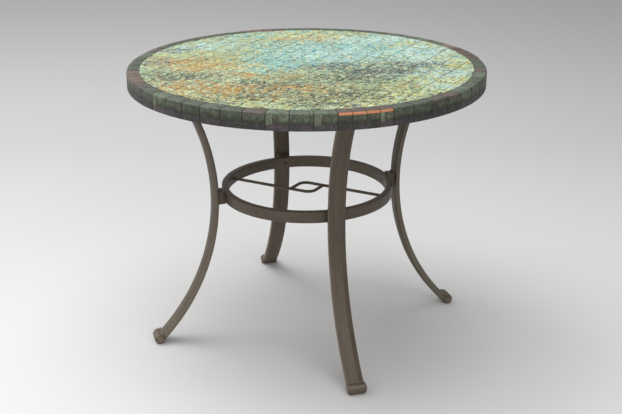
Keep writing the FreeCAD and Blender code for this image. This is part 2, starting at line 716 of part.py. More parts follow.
def screw_shape(diameter, length, head_diameter, head_height):
    """Screw along Z, the seat of its head at the origin, its shank upwards."""
    shank = Part.makeCylinder(size(diameter) / 2, size(length))
    head_size = size(head_diameter) / 2
    head = Part.makeCylinder(head_size, size(head_height), ORIGIN, -UP)
    socket = Part.makeCylinder(head_size / 2, size(head_height) / 2, -UP * size(head_height), UP)
    return head.fuse(shank).removeSplitter().cut(socket).Solids[0]


def placed(shape, base, rotation, angle):
    """Copy of a shape at a place beside the first leg, turned to another leg."""
    turn = Placement(ORIGIN, Rotation(UP, angle))
    copy = shape.copy()
    copy.Placement = turn.multiply(Placement(base, rotation))
    return copy


def make_fasteners():
    """Plate screws, their threaded inserts and the hoop's screws, a node each."""
    reach = size("Derived.plate_hole_reach")
    spread = size("Derived.plate_hole_spread")
    centre = size("Derived.leg_top_place")
    holes = [(centre + along * reach, side * spread) for along in (-1, 1) for side in (-1, 1)]
    plate_screw = screw_shape(
        "Sizes.plate_screw_diameter", "Sizes.plate_screw_length",
        "Sizes.plate_head_diameter", "Sizes.plate_head_height",
    )
    outside = Part.makeCylinder(size("Sizes.insert_diameter") / 2, size("Sizes.insert_length"))
    insert = outside.cut(Part.makeCylinder(size("Derived.insert_bore") / 2, size("Sizes.insert_length")))
    hoop_screw = screw_shape(
        "Sizes.hoop_screw_diameter", "Derived.hoop_screw_length",
        "Sizes.hoop_head_diameter", "Sizes.hoop_head_height",
    )
    plate_bottom = size("Derived.leg_top")
    core_bottom = size("Derived.core_bottom")
    screws = []
    inserts = []
    for angle in leg_angles():
        for across, along in holes:
            screws.append(placed(plate_screw, Vector(across, along, plate_bottom), Rotation(), angle))
            inserts.append(placed(insert, Vector(across, along, core_bottom), Rotation(), angle))
    seat = Vector(size("Derived.head_seat_radius"), 0, size("Derived.waist_height"))
    solid_group("plate_screws", screws)
    solid_group("threaded_inserts", inserts)
    solid_group("hoop_screws", [placed(hoop_screw, seat, ALONG_X, angle) for angle in leg_angles()])


def check_document():
    """Stop before anything is written if an object or a sub-part's shape failed."""
    for item in doc.Objects:
        if "Invalid" in item.State or "Error" in item.State:
            raise RuntimeError("%s did not compute: %s" % (item.Label, item.State))
    for item in parts:
        if item.Shape.isNull() or not item.Shape.isValid() or not item.Shape.Solids:
            raise RuntimeError("%s has no valid solid" % item.Label)


def export_parts():
    """Write each sub-part to its own file."""
    os.makedirs("parts", exist_ok=True)
    for item in parts:
        item.Shape.exportStep("parts/%s.step" % item.Label)
        print("%-28s %3d solids %12.1f mm3" % (item.Label, len(item.Shape.Solids), item.Shape.Volume))


make_field(tile_sheets())
make_rim()
make_mortar()
make_core()
for leg_place, leg_angle in zip(LEG_PLACES, leg_angles()):
    make_leg(leg_place, leg_angle)
    make_lug(leg_place, leg_angle)
    make_plate(leg_place, leg_angle)
make_hoop()
make_rod("rod_left", 0.0)
make_rod("rod_right", HALF_TURN)
make_fasteners()
doc.recompute()
check_document()
export_parts()
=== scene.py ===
# %% [markdown]
# A round table with a slate mosaic top
#
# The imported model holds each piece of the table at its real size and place. This
# lesson dresses it: the tiles get worn edges and cleft faces, the ironwork and the
# screws are modelled again with weld beads and sockets, the grout and what lies
# under the tiles stay as they are, and every finish is built from nodes.
# Lengths are in metres. +Z is up, the floor is at zero and the table stands on the
# origin, with its tile grid along X and Y.

import math

import bpy
from mathutils import Matrix, Vector, noise


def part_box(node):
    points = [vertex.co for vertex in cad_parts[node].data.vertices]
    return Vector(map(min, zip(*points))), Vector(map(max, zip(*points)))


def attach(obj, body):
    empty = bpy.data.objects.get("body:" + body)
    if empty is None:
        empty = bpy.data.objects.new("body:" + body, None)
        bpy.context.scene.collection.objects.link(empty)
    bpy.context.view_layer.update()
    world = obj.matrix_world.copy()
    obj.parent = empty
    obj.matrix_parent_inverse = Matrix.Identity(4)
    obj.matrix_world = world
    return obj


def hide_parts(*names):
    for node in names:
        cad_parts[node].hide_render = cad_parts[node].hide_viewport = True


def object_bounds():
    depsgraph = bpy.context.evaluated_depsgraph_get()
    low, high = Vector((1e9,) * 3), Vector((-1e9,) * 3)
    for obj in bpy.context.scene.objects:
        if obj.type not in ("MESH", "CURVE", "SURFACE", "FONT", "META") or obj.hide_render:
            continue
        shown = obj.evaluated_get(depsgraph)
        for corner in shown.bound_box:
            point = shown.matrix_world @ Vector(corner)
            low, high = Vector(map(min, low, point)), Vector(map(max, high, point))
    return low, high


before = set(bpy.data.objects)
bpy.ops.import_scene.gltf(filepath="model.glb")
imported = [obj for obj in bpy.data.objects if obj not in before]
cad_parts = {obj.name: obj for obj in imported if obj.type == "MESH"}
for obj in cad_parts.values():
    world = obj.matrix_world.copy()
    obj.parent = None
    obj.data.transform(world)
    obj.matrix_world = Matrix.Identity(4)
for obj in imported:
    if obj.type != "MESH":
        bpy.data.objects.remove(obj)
cad_low, cad_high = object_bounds()
TABLE_HEIGHT = cad_high.z
TOP_RADIUS = cad_high.x
EDGE_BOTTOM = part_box("slate_rim_front")[0].z
MILLIMETRE = 0.001
print("table height", round(TABLE_HEIGHT, 4), "top radius", round(TOP_RADIUS, 4))

# %% [markdown]
# Camera
#
# The table is seen from 1.4 metres above the floor and nearly three metres away, so
# that the eye looks down on the top. The tile grid is turned against the view, so
# the camera's place is given as a heading round the table, and its tilt is what puts
# the top's ellipse at the right flatness. A long lens keeps the legs from spreading.

# %% Set up the camera
VIEW_HEADING = math.radians(28.24)
CAMERA_DISTANCE = 2.7375
CAMERA_HEIGHT = 1.3863
CAMERA_TILT = math.radians(90 - 20.952)
CAMERA_PAN = math.radians(-0.22)
CAMERA_ROLL = math.radians(-0.09)
SENSOR_WIDTH_MM = 36.0
LENS_MM = 63.04


def from_view(right, away, up):
    """A place given as seen by the viewer: to the right, away and up from the origin."""
    return Matrix.Rotation(VIEW_HEADING, 3, "Z") @ Vector((right, away, up))


camera_data = bpy.data.cameras.new("eye")
camera_data.lens = LENS_MM
camera_data.sensor_width = SENSOR_WIDTH_MM
camera = bpy.data.objects.new("eye", camera_data)
bpy.context.scene.collection.objects.link(camera)
heading_turn = Matrix.Rotation(VIEW_HEADING + CAMERA_PAN, 4, "Z")
tilt_turn = Matrix.Rotation(CAMERA_TILT, 4, "X")
roll_turn = Matrix.Rotation(CAMERA_ROLL, 4, "Z")
place = Matrix.Translation(from_view(0, -CAMERA_DISTANCE, CAMERA_HEIGHT))
camera.matrix_world = place @ heading_turn @ tilt_turn @ roll_turn
bpy.context.scene.camera = camera
bpy.context.scene.view_settings.view_transform = "Standard"
print("camera at", [round(value, 3) for value in camera.matrix_world.translation])

# %% [markdown]
# Sizes of a leg
#
# A leg is one flat bar, bowed in to the hoop and rolled at its foot. Its bow is an
# arc that is upright at the hoop's height, and it ends in the middle of the roll.
# These sizes come first, because the iron's finish follows the bar.

# %% Sizes of a leg
LEG_WIDTH = 0.044
LEG_THICKNESS = 0.0183
LUG_DEPTH = 0.0156
ROLL_RADIUS = 0.014
ROLL_LENGTH = 0.0485
ROLL_FLAT = 0.6 * MILLIMETRE
FOOT_INSET = 0.0404
hoop_low, hoop_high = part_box("hoop")
HOOP_RADIUS = hoop_high.x
WAIST_HEIGHT = (hoop_low.z + hoop_high.z) / 2
WAIST_RADIUS = HOOP_RADIUS + LUG_DEPTH + LEG_THICKNESS / 2
LEG_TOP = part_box("leg_back_right")[1].z
FOOT_PLACE = TOP_RADIUS - FOOT_INSET
FOOT_CENTRE_HEIGHT = ROLL_RADIUS - ROLL_FLAT
foot_drop = WAIST_HEIGHT - FOOT_CENTRE_HEIGHT
foot_reach = FOOT_PLACE - WAIST_RADIUS
roll_step = LEG_THICKNESS / 2 - ROLL_RADIUS
BOW_RADIUS = (foot_reach**2 + foot_drop**2 - roll_step**2) / (2 * (foot_reach + roll_step))
BOW_CENTRE = WAIST_RADIUS + BOW_RADIUS
FOOT_ANGLE = math.asin(foot_drop / (BOW_RADIUS + roll_step))
TOP_ANGLE = math.asin((LEG_TOP - WAIST_HEIGHT + LEG_THICKNESS) / BOW_RADIUS)
print("bow radius", round(BOW_RADIUS, 5), "foot place", round(FOOT_PLACE, 5))

# %% [markdown]
# Small helpers for modelling
#
# Operators act on whatever is selected, so each step first selects one piece and
# nothing else. A piece is shaped in edit mode, finished with modifiers that are
# applied at once, and its place ends up in its mesh.

# %% Selecting and editing
MERGE_DISTANCE = 0.01 * MILLIMETRE


def select_only(*pieces):
    """Select these objects and make the first one active."""
    bpy.ops.object.select_all(action="DESELECT")
    for piece in pieces:
        piece.select_set(True)
    bpy.context.view_layer.objects.active = pieces[0]


def edit(piece, everything=True):
    """Open a piece for editing with all of it selected, or nothing."""
    select_only(piece)
    bpy.ops.object.mode_set(mode="EDIT")
    bpy.ops.mesh.select_all(action="SELECT" if everything else "DESELECT")


def close_edit():
    """Leave edit mode."""
    bpy.ops.object.mode_set(mode="OBJECT")


def close_surface():
    """Merge the doubled points of a spun surface, face it outwards and leave edit mode."""
    bpy.ops.mesh.select_all(action="SELECT")
    bpy.ops.mesh.remove_doubles(threshold=MERGE_DISTANCE)
    bpy.ops.mesh.normals_make_consistent(inside=False)
    close_edit()


def select_edges(piece, wanted):
    """Open a piece for editing with the edges selected whose two ends pass a test."""
    edit(piece, everything=False)
    bpy.ops.mesh.select_mode(type="EDGE")
    close_edit()
    points = [vertex.co for vertex in piece.data.vertices]
    for edge in piece.data.edges:
        edge.select = all(wanted(points[index]) for index in edge.vertices)
    bpy.ops.object.mode_set(mode="EDIT")


# %% Finishing, copying and joining
SMOOTH_ANGLE = math.radians(32)


def modify(piece, kind, **settings):
    """Add a modifier with its settings and apply it at once."""
    select_only(piece)
    modifier = piece.modifiers.new(kind, kind)
    for name, value in settings.items():
        setattr(modifier, name, value)
    bpy.ops.object.modifier_apply(modifier=modifier.name)


def soften_edges(piece, width, segments=2, angle=35.0):
    """Round every edge sharper than an angle."""
    modify(
        piece, "BEVEL", width=width, segments=segments, limit_method="ANGLE",
        angle_limit=math.radians(angle), use_clamp_overlap=True,
    )


def smooth(piece, angle=SMOOTH_ANGLE):
    """Shade a piece smooth, with its real edges kept."""
    select_only(piece)
    bpy.ops.object.shade_smooth_by_angle(angle=angle)


def place_in_mesh(piece):
    """Move an object's place, turn and size into its mesh."""
    select_only(piece)
    bpy.ops.object.transform_apply(location=True, rotation=True, scale=True)


def join(pieces, name):
    """Join several pieces into one."""
    select_only(*pieces)
    bpy.ops.object.join()
    joined = bpy.context.view_layer.objects.active
    joined.name = name
    return joined


def combine(piece, other, operation):
    """Add another piece to this one, or cut it away, and remove the other."""
    modify(piece, "BOOLEAN", operation=operation, object=other, solver="EXACT")
    bpy.data.objects.remove(other)


def turned_copy(piece, name, angle):
    """Copy of a piece with its own mesh, turned about the table's axis."""
    copy = bpy.data.objects.new(name, piece.data.copy())
    bpy.context.scene.collection.objects.link(copy)
    copy.data.transform(Matrix.Rotation(angle, 4, "Z"))
    return copy


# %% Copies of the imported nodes
FLAT_ANGLE = math.radians(0.5)


def node_copy(node, name):
    """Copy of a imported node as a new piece, its loose triangles joined into faces."""
    piece = bpy.data.objects.new(name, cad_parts[node].data.copy())
    bpy.context.scene.collection.objects.link(piece)
    piece.data.materials.clear()
    select_only(piece)
    bpy.ops.mesh.customdata_custom_splitnormals_clear()
    edit(piece)
    bpy.ops.mesh.remove_doubles(threshold=MERGE_DISTANCE)
    bpy.ops.mesh.dissolve_limited(angle_limit=FLAT_ANGLE)
    close_edit()
    return piece


def put_in_place(piece, material, slot, *nodes):
    """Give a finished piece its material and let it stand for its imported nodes."""
    piece.data.materials.clear()
    piece.data.materials.append(material)
    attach(piece, "root")
    if nodes:
        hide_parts(*nodes)


# %% [markdown]
# Small helpers for materials
#
# Every finish here is a tree of nodes. A short helper adds a node and takes numbers
# or other nodes' outputs for its inputs, so that a material reads from top to
# bottom. Colours are written the way that a screen shows them, as red, green and
# blue from 0 to 255, and turned into light values once.

# %% Nodes
def paint(red, green, blue):
    """Screen colour as linear light values."""
    def linear(value):
        share = value / 255
        return share / 12.92 if share <= 0.04045 else ((share + 0.055) / 1.055) ** 2.4
    return (linear(red), linear(green), linear(blue), 1.0)


def add_node(tree, kind, inputs=None, **settings):
    """Add a node. Inputs are numbers, vectors, colours or outputs of other nodes."""
    made = tree.nodes.new(kind)
    for name, value in settings.items():
        setattr(made, name, value)
    for key, value in (inputs or {}).items():
        if isinstance(value, bpy.types.NodeSocket):
            tree.links.new(value, made.inputs[key])
        else:
            made.inputs[key].default_value = value
    return made


# %% Nodes for numbers
def maths(tree, operation, first, second=0.0):
    """Output of a math node."""
    return add_node(tree, "ShaderNodeMath", {0: first, 1: second}, operation=operation).outputs[0]


def times(tree, *values):
    """Product of several values."""
    product = values[0]
    for value in values[1:]:
        product = maths(tree, "MULTIPLY", product, value)
    return product


def fade(tree, value, low, high, start=0.0, end=1.0, curve="SMOOTHSTEP"):
    """Smooth step of a value from one level to another, held outside them."""
    inputs = {"Value": value, "From Min": low, "From Max": high, "To Min": start, "To Max": end}
    return add_node(tree, "ShaderNodeMapRange", inputs, interpolation_type=curve).outputs[0]


def ramp(tree, value, low, high, start=0.0, end=1.0):
    """Straight change of a value from one level to another, held outside them."""
    return fade(tree, value, low, high, start, end, "LINEAR")


# %% Nodes for vectors
def vector_maths(tree, operation, first, second=(0, 0, 0)):
    """Vector output of a vector math node."""
    inputs = {0: first, 1: second}
    return add_node(tree, "ShaderNodeVectorMath", inputs, operation=operation).outputs[0]


def vector_length(tree, vector):
    """Length of a vector."""
    return add_node(tree, "ShaderNodeVectorMath", {0: vector}, operation="LENGTH").outputs["Value"]


def flattened(tree, vector):
    """A place with its height left out."""
    return vector_maths(tree, "MULTIPLY", vector, (1, 1, 0))


def separate(tree, vector):
    """X, Y and Z outputs of a vector."""
    return add_node(tree, "ShaderNodeSeparateXYZ", {0: vector}).outputs


def together(tree, x, y, z=0.0):
    """A vector from three values."""
    return add_node(tree, "ShaderNodeCombineXYZ", {0: x, 1: y, 2: z}).outputs[0]


def object_place(tree, turn=0.0, scale=(1, 1, 1)):
    """Object coordinates, turned and stretched by a Mapping node."""
    coordinates = tree.nodes.new("ShaderNodeTexCoord").outputs["Object"]
    inputs = {"Vector": coordinates, "Rotation": (0, 0, turn), "Scale": scale}
    return add_node(tree, "ShaderNodeMapping", inputs).outputs["Vector"]


def marked_place(tree, name):
    """X, Y and Z outputs of a place that the piece's points carry as an attribute."""
    return separate(tree, add_node(tree, "ShaderNodeAttribute", attribute_name=name).outputs["Vector"])


# %% Nodes for colour and relief
def blend(tree, share, below, above):
    """Colour output of two mixed colours."""
    inputs = {0: share, 6: below, 7: above}
    return add_node(tree, "ShaderNodeMix", inputs, data_type="RGBA").outputs[2]


def tinted(tree, colour, mask, share, tint):
    """A colour with a tint laid over it inside a mask, at most by a share."""
    return blend(tree, maths(tree, "MULTIPLY", mask, share), colour, tint)


def scaled(tree, colour, factor):
    """A colour made lighter or darker by a factor."""
    inputs = {0: colour, "Scale": factor}
    return add_node(tree, "ShaderNodeVectorMath", inputs, operation="SCALE").outputs[0]


def speckle(tree, vector, scale, detail=4.0, roughness=0.55, distortion=0.0):
    """Value of a noise texture, from 0 to 1 with its middle at a half."""
    inputs = {
        "Vector": vector, "Scale": scale, "Detail": detail,
        "Roughness": roughness, "Distortion": distortion,
    }
    return add_node(tree, "ShaderNodeTexNoise", inputs).outputs["Fac"]


def bumped(tree, height, distance, strength=1.0):
    """Normal output of a bump node."""
    inputs = {"Height": height, "Distance": distance, "Strength": strength}
    return add_node(tree, "ShaderNodeBump", inputs).outputs["Normal"]


# %% Materials and node groups
def new_material(name):
    """Material with nothing but an output and a Principled shader joined to it."""
    material = bpy.data.materials.new(name)
    material.use_nodes = True
    tree = material.node_tree
    tree.nodes.clear()
    shader = tree.nodes.new("ShaderNodeBsdfPrincipled")
    output = tree.nodes.new("ShaderNodeOutputMaterial")
    tree.links.new(shader.outputs["BSDF"], output.inputs["Surface"])
    return material, tree, shader


def finish(tree, shader, colour, roughness, normal):
    """Join a colour, a roughness and a normal to the shader."""
    for name, value in (("Base Color", colour), ("Roughness", roughness), ("Normal", normal)):
        tree.links.new(value, shader.inputs[name])


def new_group(name, inputs, outputs):
    """Node group with float and vector sockets, and its two end nodes."""
    group = bpy.data.node_groups.new(name, "ShaderNodeTree")
    for label, kind in inputs:
        group.interface.new_socket(name=label, in_out="INPUT", socket_type=kind)
    for label, kind in outputs:
        group.interface.new_socket(name=label, in_out="OUTPUT", socket_type=kind)
    start = group.nodes.new("NodeGroupInput")
    end = group.nodes.new("NodeGroupOutput")
    return group, start.outputs, end.inputs


def use_group(tree, group, inputs):
    """Outputs of a group placed in a material."""
    return add_node(tree, "ShaderNodeGroup", inputs, node_tree=group).outputs


# %% [markdown]
# Mottling, shared by every finish
#
# Slate, patina, grout and bronze paint are all uneven in two sizes at once: broad
# clouds, and a much finer grain. One node group gives both as values, and each
# material sets its own sizes and stretch.

# %% The mottling group
FLOAT = "NodeSocketFloat"
VECTOR = "NodeSocketVector"
mottling, given, wanted = new_group(
    "mottling",
    [("Place", VECTOR), ("Cloud scale", FLOAT), ("Grain scale", FLOAT)],
    [("Cloud", FLOAT), ("Grain", FLOAT)],
)
cloud = speckle(mottling, given["Place"], given["Cloud scale"], 5.0, 0.6)
grain = speckle(mottling, given["Place"], given["Grain scale"], 3.0, 0.7)
mottling.links.new(fade(mottling, cloud, 0.3, 0.7), wanted["Cloud"])
mottling.links.new(fade(mottling, grain, 0.25, 0.75), wanted["Grain"])

# %% [markdown]
# Dark ends of the rim tiles
#
# Dirt and grout darken the last millimetres of a rim tile beside its joints, on the
# slate and on the copper alike. The group takes the share of a tile's length at
# which a point lies, from 0 to 1, and gives a mask that is 1 at both ends.

# %% The tile ends group
tile_ends, given, wanted = new_group("tile_ends", [("Along", FLOAT)], [("Mask", FLOAT)])
first = fade(tile_ends, given["Along"], 0.045, 0.015)
last = fade(tile_ends, given["Along"], 0.955, 0.985)
tile_ends.links.new(maths(tile_ends, "MAXIMUM", first, last), wanted["Mask"])

# %% [markdown]
# Colour zones of the natural slate
#
# The slate's colours come from iron and chlorite that seeped through the stone in
# patches. Each tint therefore has its own noise, which decides where its specks
# lie, and a few zones on the top where it is common. A zone is a soft oval with a
# ragged edge. Its group gives a mask that is 1 in the middle and 0 outside.

# %% The zone group
zone, given, wanted = new_group(
    "colour_zone",
    [("Place", VECTOR), ("Centre", VECTOR), ("Reach", VECTOR)],
    [("Mask", FLOAT)],
)
offset = vector_maths(zone, "SUBTRACT", given["Place"], given["Centre"])
share = vector_maths(zone, "DIVIDE", offset, given["Reach"])
zone.links.new(fade(zone, vector_length(zone, share), 0.0, 1.0, 1.0, 0.0), wanted["Mask"])

# %% [markdown]
# Field slate
#
# The tints are laid over a sage base in turn, the widespread ones first: turquoise,
# cream, pale blue, ochre, a green shade, dark blue, dark green, and rust last. Dark
# veins, pale flecks and the dirt beside the joints lie over them all. Places are as
# the viewer sees the top: right and away from its middle.

# %% Tints of the field slate
SLATE_BASE = paint(164, 190, 154)
SLATE_BASE_PALE = paint(214, 220, 174)
SLATE_BASE_DEEP = paint(112, 140, 118)
# Colour, noise scale, level at which it starts, softness, pull of the zones, and zones
FIELD_TINTS = {
    "turquoise": (paint(126, 205, 218), 54.0, 0.54, 0.09, 0.18, (
        (0.05, 0.14, 0.34, 0.24), (0.20, 0.20, 0.26, 0.18), (-0.08, 0.02, 0.24, 0.16),
        (0.28, -0.08, 0.16, 0.12), (-0.06, 0.36, 0.30, 0.10),
    )),
    "cream": (paint(234, 217, 128), 58.0, 0.56, 0.07, 0.12, (
        (0.16, -0.33, 0.34, 0.16), (0.34, -0.16, 0.18, 0.26), (-0.12, -0.36, 0.26, 0.14),
        (-0.26, 0.02, 0.24, 0.16), (0.02, 0.36, 0.34, 0.10), (-0.32, 0.16, 0.20, 0.16),
        (0.30, 0.24, 0.18, 0.12), (0.38, 0.02, 0.10, 0.14),
    )),
    "pale blue": (paint(208, 242, 254), 72.0, 0.555, 0.06, 0.12, (
        (0.30, 0.12, 0.22, 0.20), (0.31, -0.09, 0.18, 0.08), (0.34, -0.20, 0.14, 0.08),
        (-0.30, 0.21, 0.20, 0.12), (0.09, 0.12, 0.26, 0.16), (0.18, 0.30, 0.26, 0.12),
    )),
    "ochre": (paint(184, 152, 56), 70.0, 0.575, 0.04, 0.11, (
        (-0.20, -0.28, 0.28, 0.18), (0.04, -0.28, 0.26, 0.14), (-0.26, 0.02, 0.24, 0.16),
        (0.22, -0.22, 0.14, 0.10), (-0.06, -0.12, 0.20, 0.10),
    )),
    "green shade": (paint(84, 106, 78), 64.0, 0.565, 0.06, 0.12, (
        (-0.06, -0.22, 0.24, 0.16), (0.08, -0.16, 0.26, 0.12), (0.14, -0.28, 0.22, 0.12),
        (0.20, -0.05, 0.26, 0.12), (-0.30, -0.12, 0.18, 0.08),
    )),
    "dark blue": (paint(56, 94, 116), 74.0, 0.575, 0.05, 0.15, (
        (0.18, -0.08, 0.20, 0.08), (0.08, -0.02, 0.16, 0.08), (0.28, 0.01, 0.18, 0.06),
        (-0.37, 0.03, 0.11, 0.08), (-0.34, 0.17, 0.12, 0.06),
    )),
    "dark green": (paint(34, 44, 34), 92.0, 0.575, 0.035, 0.115, (
        (-0.06, -0.22, 0.20, 0.14), (-0.13, -0.32, 0.16, 0.08), (-0.32, -0.12, 0.16, 0.07),
        (0.10, -0.14, 0.22, 0.08), (0.20, -0.08, 0.18, 0.08), (0.06, -0.32, 0.26, 0.10),
        (-0.36, -0.14, 0.10, 0.10), (-0.22, -0.36, 0.14, 0.08), (0.02, -0.38, 0.20, 0.08),
    )),
    "rust": (paint(206, 136, 12), 84.0, 0.58, 0.03, 0.12, (
        (-0.30, -0.22, 0.20, 0.14), (-0.18, -0.26, 0.18, 0.10), (-0.02, -0.23, 0.18, 0.07),
        (-0.02, 0.31, 0.16, 0.08), (-0.15, -0.11, 0.14, 0.06), (-0.33, 0.05, 0.14, 0.08),
        (-0.28, -0.02, 0.20, 0.10),
    )),
}
STREAK_STRETCH = (0.95, 0.75, 1.0)
ZONE_DRIFT = (0.16, 0.12, 0)
VEIN_TONE = paint(60, 64, 40)
FLECK_TONE = paint(244, 240, 202)
JOINT_TONE = paint(74, 80, 56)
JOINT_SHADE = 0.7
SEALED_TONE = (0.665, 0.765, 0.695)
TINT_SPACING = 7.3
TILE_PITCH = 0.0508

# %% Build the field slate
def zone_mask(tree, ragged, zones):
    """Largest of the masks of a tint's zones at a place."""
    masks = []
    for right, away, reach_right, reach_away in zones:
        inputs = {"Place": ragged, "Centre": (right, away, 0), "Reach": (reach_right, reach_away, 1)}
        masks.append(use_group(tree, zone, inputs)["Mask"])
    largest = masks[0]
    for mask in masks[1:]:
        largest = maths(tree, "MAXIMUM", largest, mask)
    return largest


def joint_mask(tree, grid, streaked):
    """Mask of the dark edges along the joints, stronger in some stretches."""
    within = vector_maths(tree, "SUBTRACT", vector_maths(tree, "FRACTION", grid), (0.5, 0.5, 0))
    within = separate(tree, vector_maths(tree, "ABSOLUTE", within))
    border = fade(tree, maths(tree, "MAXIMUM", within["X"], within["Y"]), 0.462, 0.486)
    stretches = fade(tree, speckle(tree, streaked, 26.0, 2.0), 0.40, 0.60, 0.35, 1.0)
    return times(tree, border, stretches)


def tile_brightness(tree, grid):
    """A factor by chance, the same all over a tile."""
    tile = flattened(tree, vector_maths(tree, "FLOOR", grid))
    chance = add_node(tree, "ShaderNodeTexWhiteNoise", {"Vector": tile}, noise_dimensions="3D")
    return fade(tree, chance.outputs["Value"], 0.0, 1.0, 0.92, 1.06)


def make_field_slate():
    """Honed multicolour slate, sealed."""
    material, tree, shader = new_material("field_slate")
    place = object_place(tree, -VIEW_HEADING)
    flat = flattened(tree, place)
    swirl = add_node(tree, "ShaderNodeTexNoise", {"Vector": flat, "Scale": 9.0, "Detail": 4.0})
    drift = vector_maths(tree, "SUBTRACT", swirl.outputs["Color"], (0.5, 0.5, 0.5))
    drift = vector_maths(tree, "MULTIPLY", drift, ZONE_DRIFT)
    ragged = vector_maths(tree, "ADD", flat, drift)
    streaked = vector_maths(tree, "MULTIPLY", place, STREAK_STRETCH)
    mottle = use_group(tree, mottling, {"Place": streaked, "Cloud scale": 66.0, "Grain scale": 190.0})
    colour = blend(tree, mottle["Cloud"], SLATE_BASE_DEEP, SLATE_BASE)
    colour = tinted(tree, colour, mottle["Grain"], 0.7, SLATE_BASE_PALE)
    for index, (tint, scale, level, softness, pull, zones) in enumerate(FIELD_TINTS.values()):
        shift = (TINT_SPACING * (index + 1), -TINT_SPACING * index, 0)
        shifted = vector_maths(tree, "ADD", streaked, shift)
        specks = speckle(tree, shifted, scale, 6.0, 0.82, 0.3)
        common = maths(tree, "MULTIPLY", zone_mask(tree, ragged, zones), pull)
        mask = fade(tree, maths(tree, "ADD", specks, common), level, level + softness)
        colour = blend(tree, mask, colour, tint)
    veins = speckle(tree, streaked, 100.0, 6.0, 0.8, 0.5)
    colour = tinted(tree, colour, fade(tree, veins, 0.46, 0.42), 0.9, VEIN_TONE)
    flecks = fade(tree, speckle(tree, streaked, 150.0, 4.0, 0.8), 0.53, 0.585)
    colour = tinted(tree, colour, flecks, 0.95, FLECK_TONE)
    grid = vector_maths(tree, "DIVIDE", object_place(tree), (TILE_PITCH, TILE_PITCH, 1))
    colour = tinted(tree, colour, joint_mask(tree, grid, streaked), JOINT_SHADE, JOINT_TONE)
    colour = scaled(tree, colour, tile_brightness(tree, grid))
    colour = vector_maths(tree, "MULTIPLY", colour, SEALED_TONE)
    roughness = fade(tree, mottle["Grain"], 0.0, 1.0, 0.30, 0.48)
    relief = maths(tree, "ADD", maths(tree, "MULTIPLY", veins, 0.6), mottle["Grain"])
    finish(tree, shader, colour, roughness, bumped(tree, relief, 0.25 * MILLIMETRE, 0.6))
    shader.inputs["Specular IOR Level"].default_value = 0.45
    return material


field_slate = make_field_slate()

# %% [markdown]
# Rim slate
#
# The edge tiles are a darker, more even slate. Each one has its own tone, between
# grey-green and plum, and some show a paler strip beside their joint, where the
# tile was cut across a band of the stone. The side darkens downwards, and its lowest
# band is plum-grey, the colour of the bed below, with less dust on it. The tiles
# carry an attribute with their place: how far along the tile a point is, and two
# chance values for the tile's tone.

# %% Build the rim slate
BAND_HEIGHT = 0.0125
BAND_LINE = EDGE_BOTTOM + BAND_HEIGHT
BAND_WAVE = 0.002
LOW_SIDE_START = BAND_LINE + 0.016
LOW_SIDE_FULL = BAND_LINE + 0.004
SHOULDER_START = TABLE_HEIGHT - 0.012
SHOULDER_FULL = TABLE_HEIGHT - 0.001
DUST_FULL = TABLE_HEIGHT - 0.004
STRIP_CHANCE = 0.62
STRIP_SHARE = 0.3
STRIP_FALL = 0.35


def slate_body(tree, height, tone, mottle):
    """Colour of the stone on the top face and the side, and the mask of the top."""
    green = blend(tree, mottle["Cloud"], paint(54, 60, 44), paint(96, 104, 82))
    plum = blend(tree, mottle["Cloud"], paint(76, 64, 58), paint(112, 98, 90))
    upper = fade(tree, height, SHOULDER_START, SHOULDER_FULL)
    is_plum = maths(tree, "MULTIPLY", fade(tree, tone, 0.58, 0.66), upper)
    colour = blend(tree, is_plum, green, plum)
    # A paler bluish tone in patches on the top face and upper side: partly wear, partly a painted
    # highlight on the rounded top edge.
    shoulder_wear_and_highlight = maths(tree, "MULTIPLY", upper, fade(tree, mottle["Grain"], 0.0, 1.0, 0.15, 0.6))
    shoulder_tone = blend(tree, is_plum, paint(76, 96, 78), paint(100, 86, 80))
    colour = blend(tree, shoulder_wear_and_highlight, colour, shoulder_tone)
    low_side = fade(tree, height, LOW_SIDE_START, LOW_SIDE_FULL)
    return tinted(tree, colour, low_side, 0.9, paint(38, 39, 31)), upper


def add_strips(tree, colour, along, chance, side):
    """A paler strip at one end of some tiles' sides, with a darker fall beside it."""
    has_strip = maths(tree, "GREATER_THAN", chance, STRIP_CHANCE)
    in_strip = maths(tree, "LESS_THAN", along, STRIP_SHARE)
    fall = fade(tree, along, STRIP_SHARE + STRIP_FALL, STRIP_SHARE)
    beside = times(tree, fall, has_strip, maths(tree, "SUBTRACT", 1.0, in_strip), side)
    colour = tinted(tree, colour, times(tree, has_strip, in_strip, side), 0.6, paint(100, 108, 84))
    return tinted(tree, colour, beside, 0.6, paint(50, 44, 32))


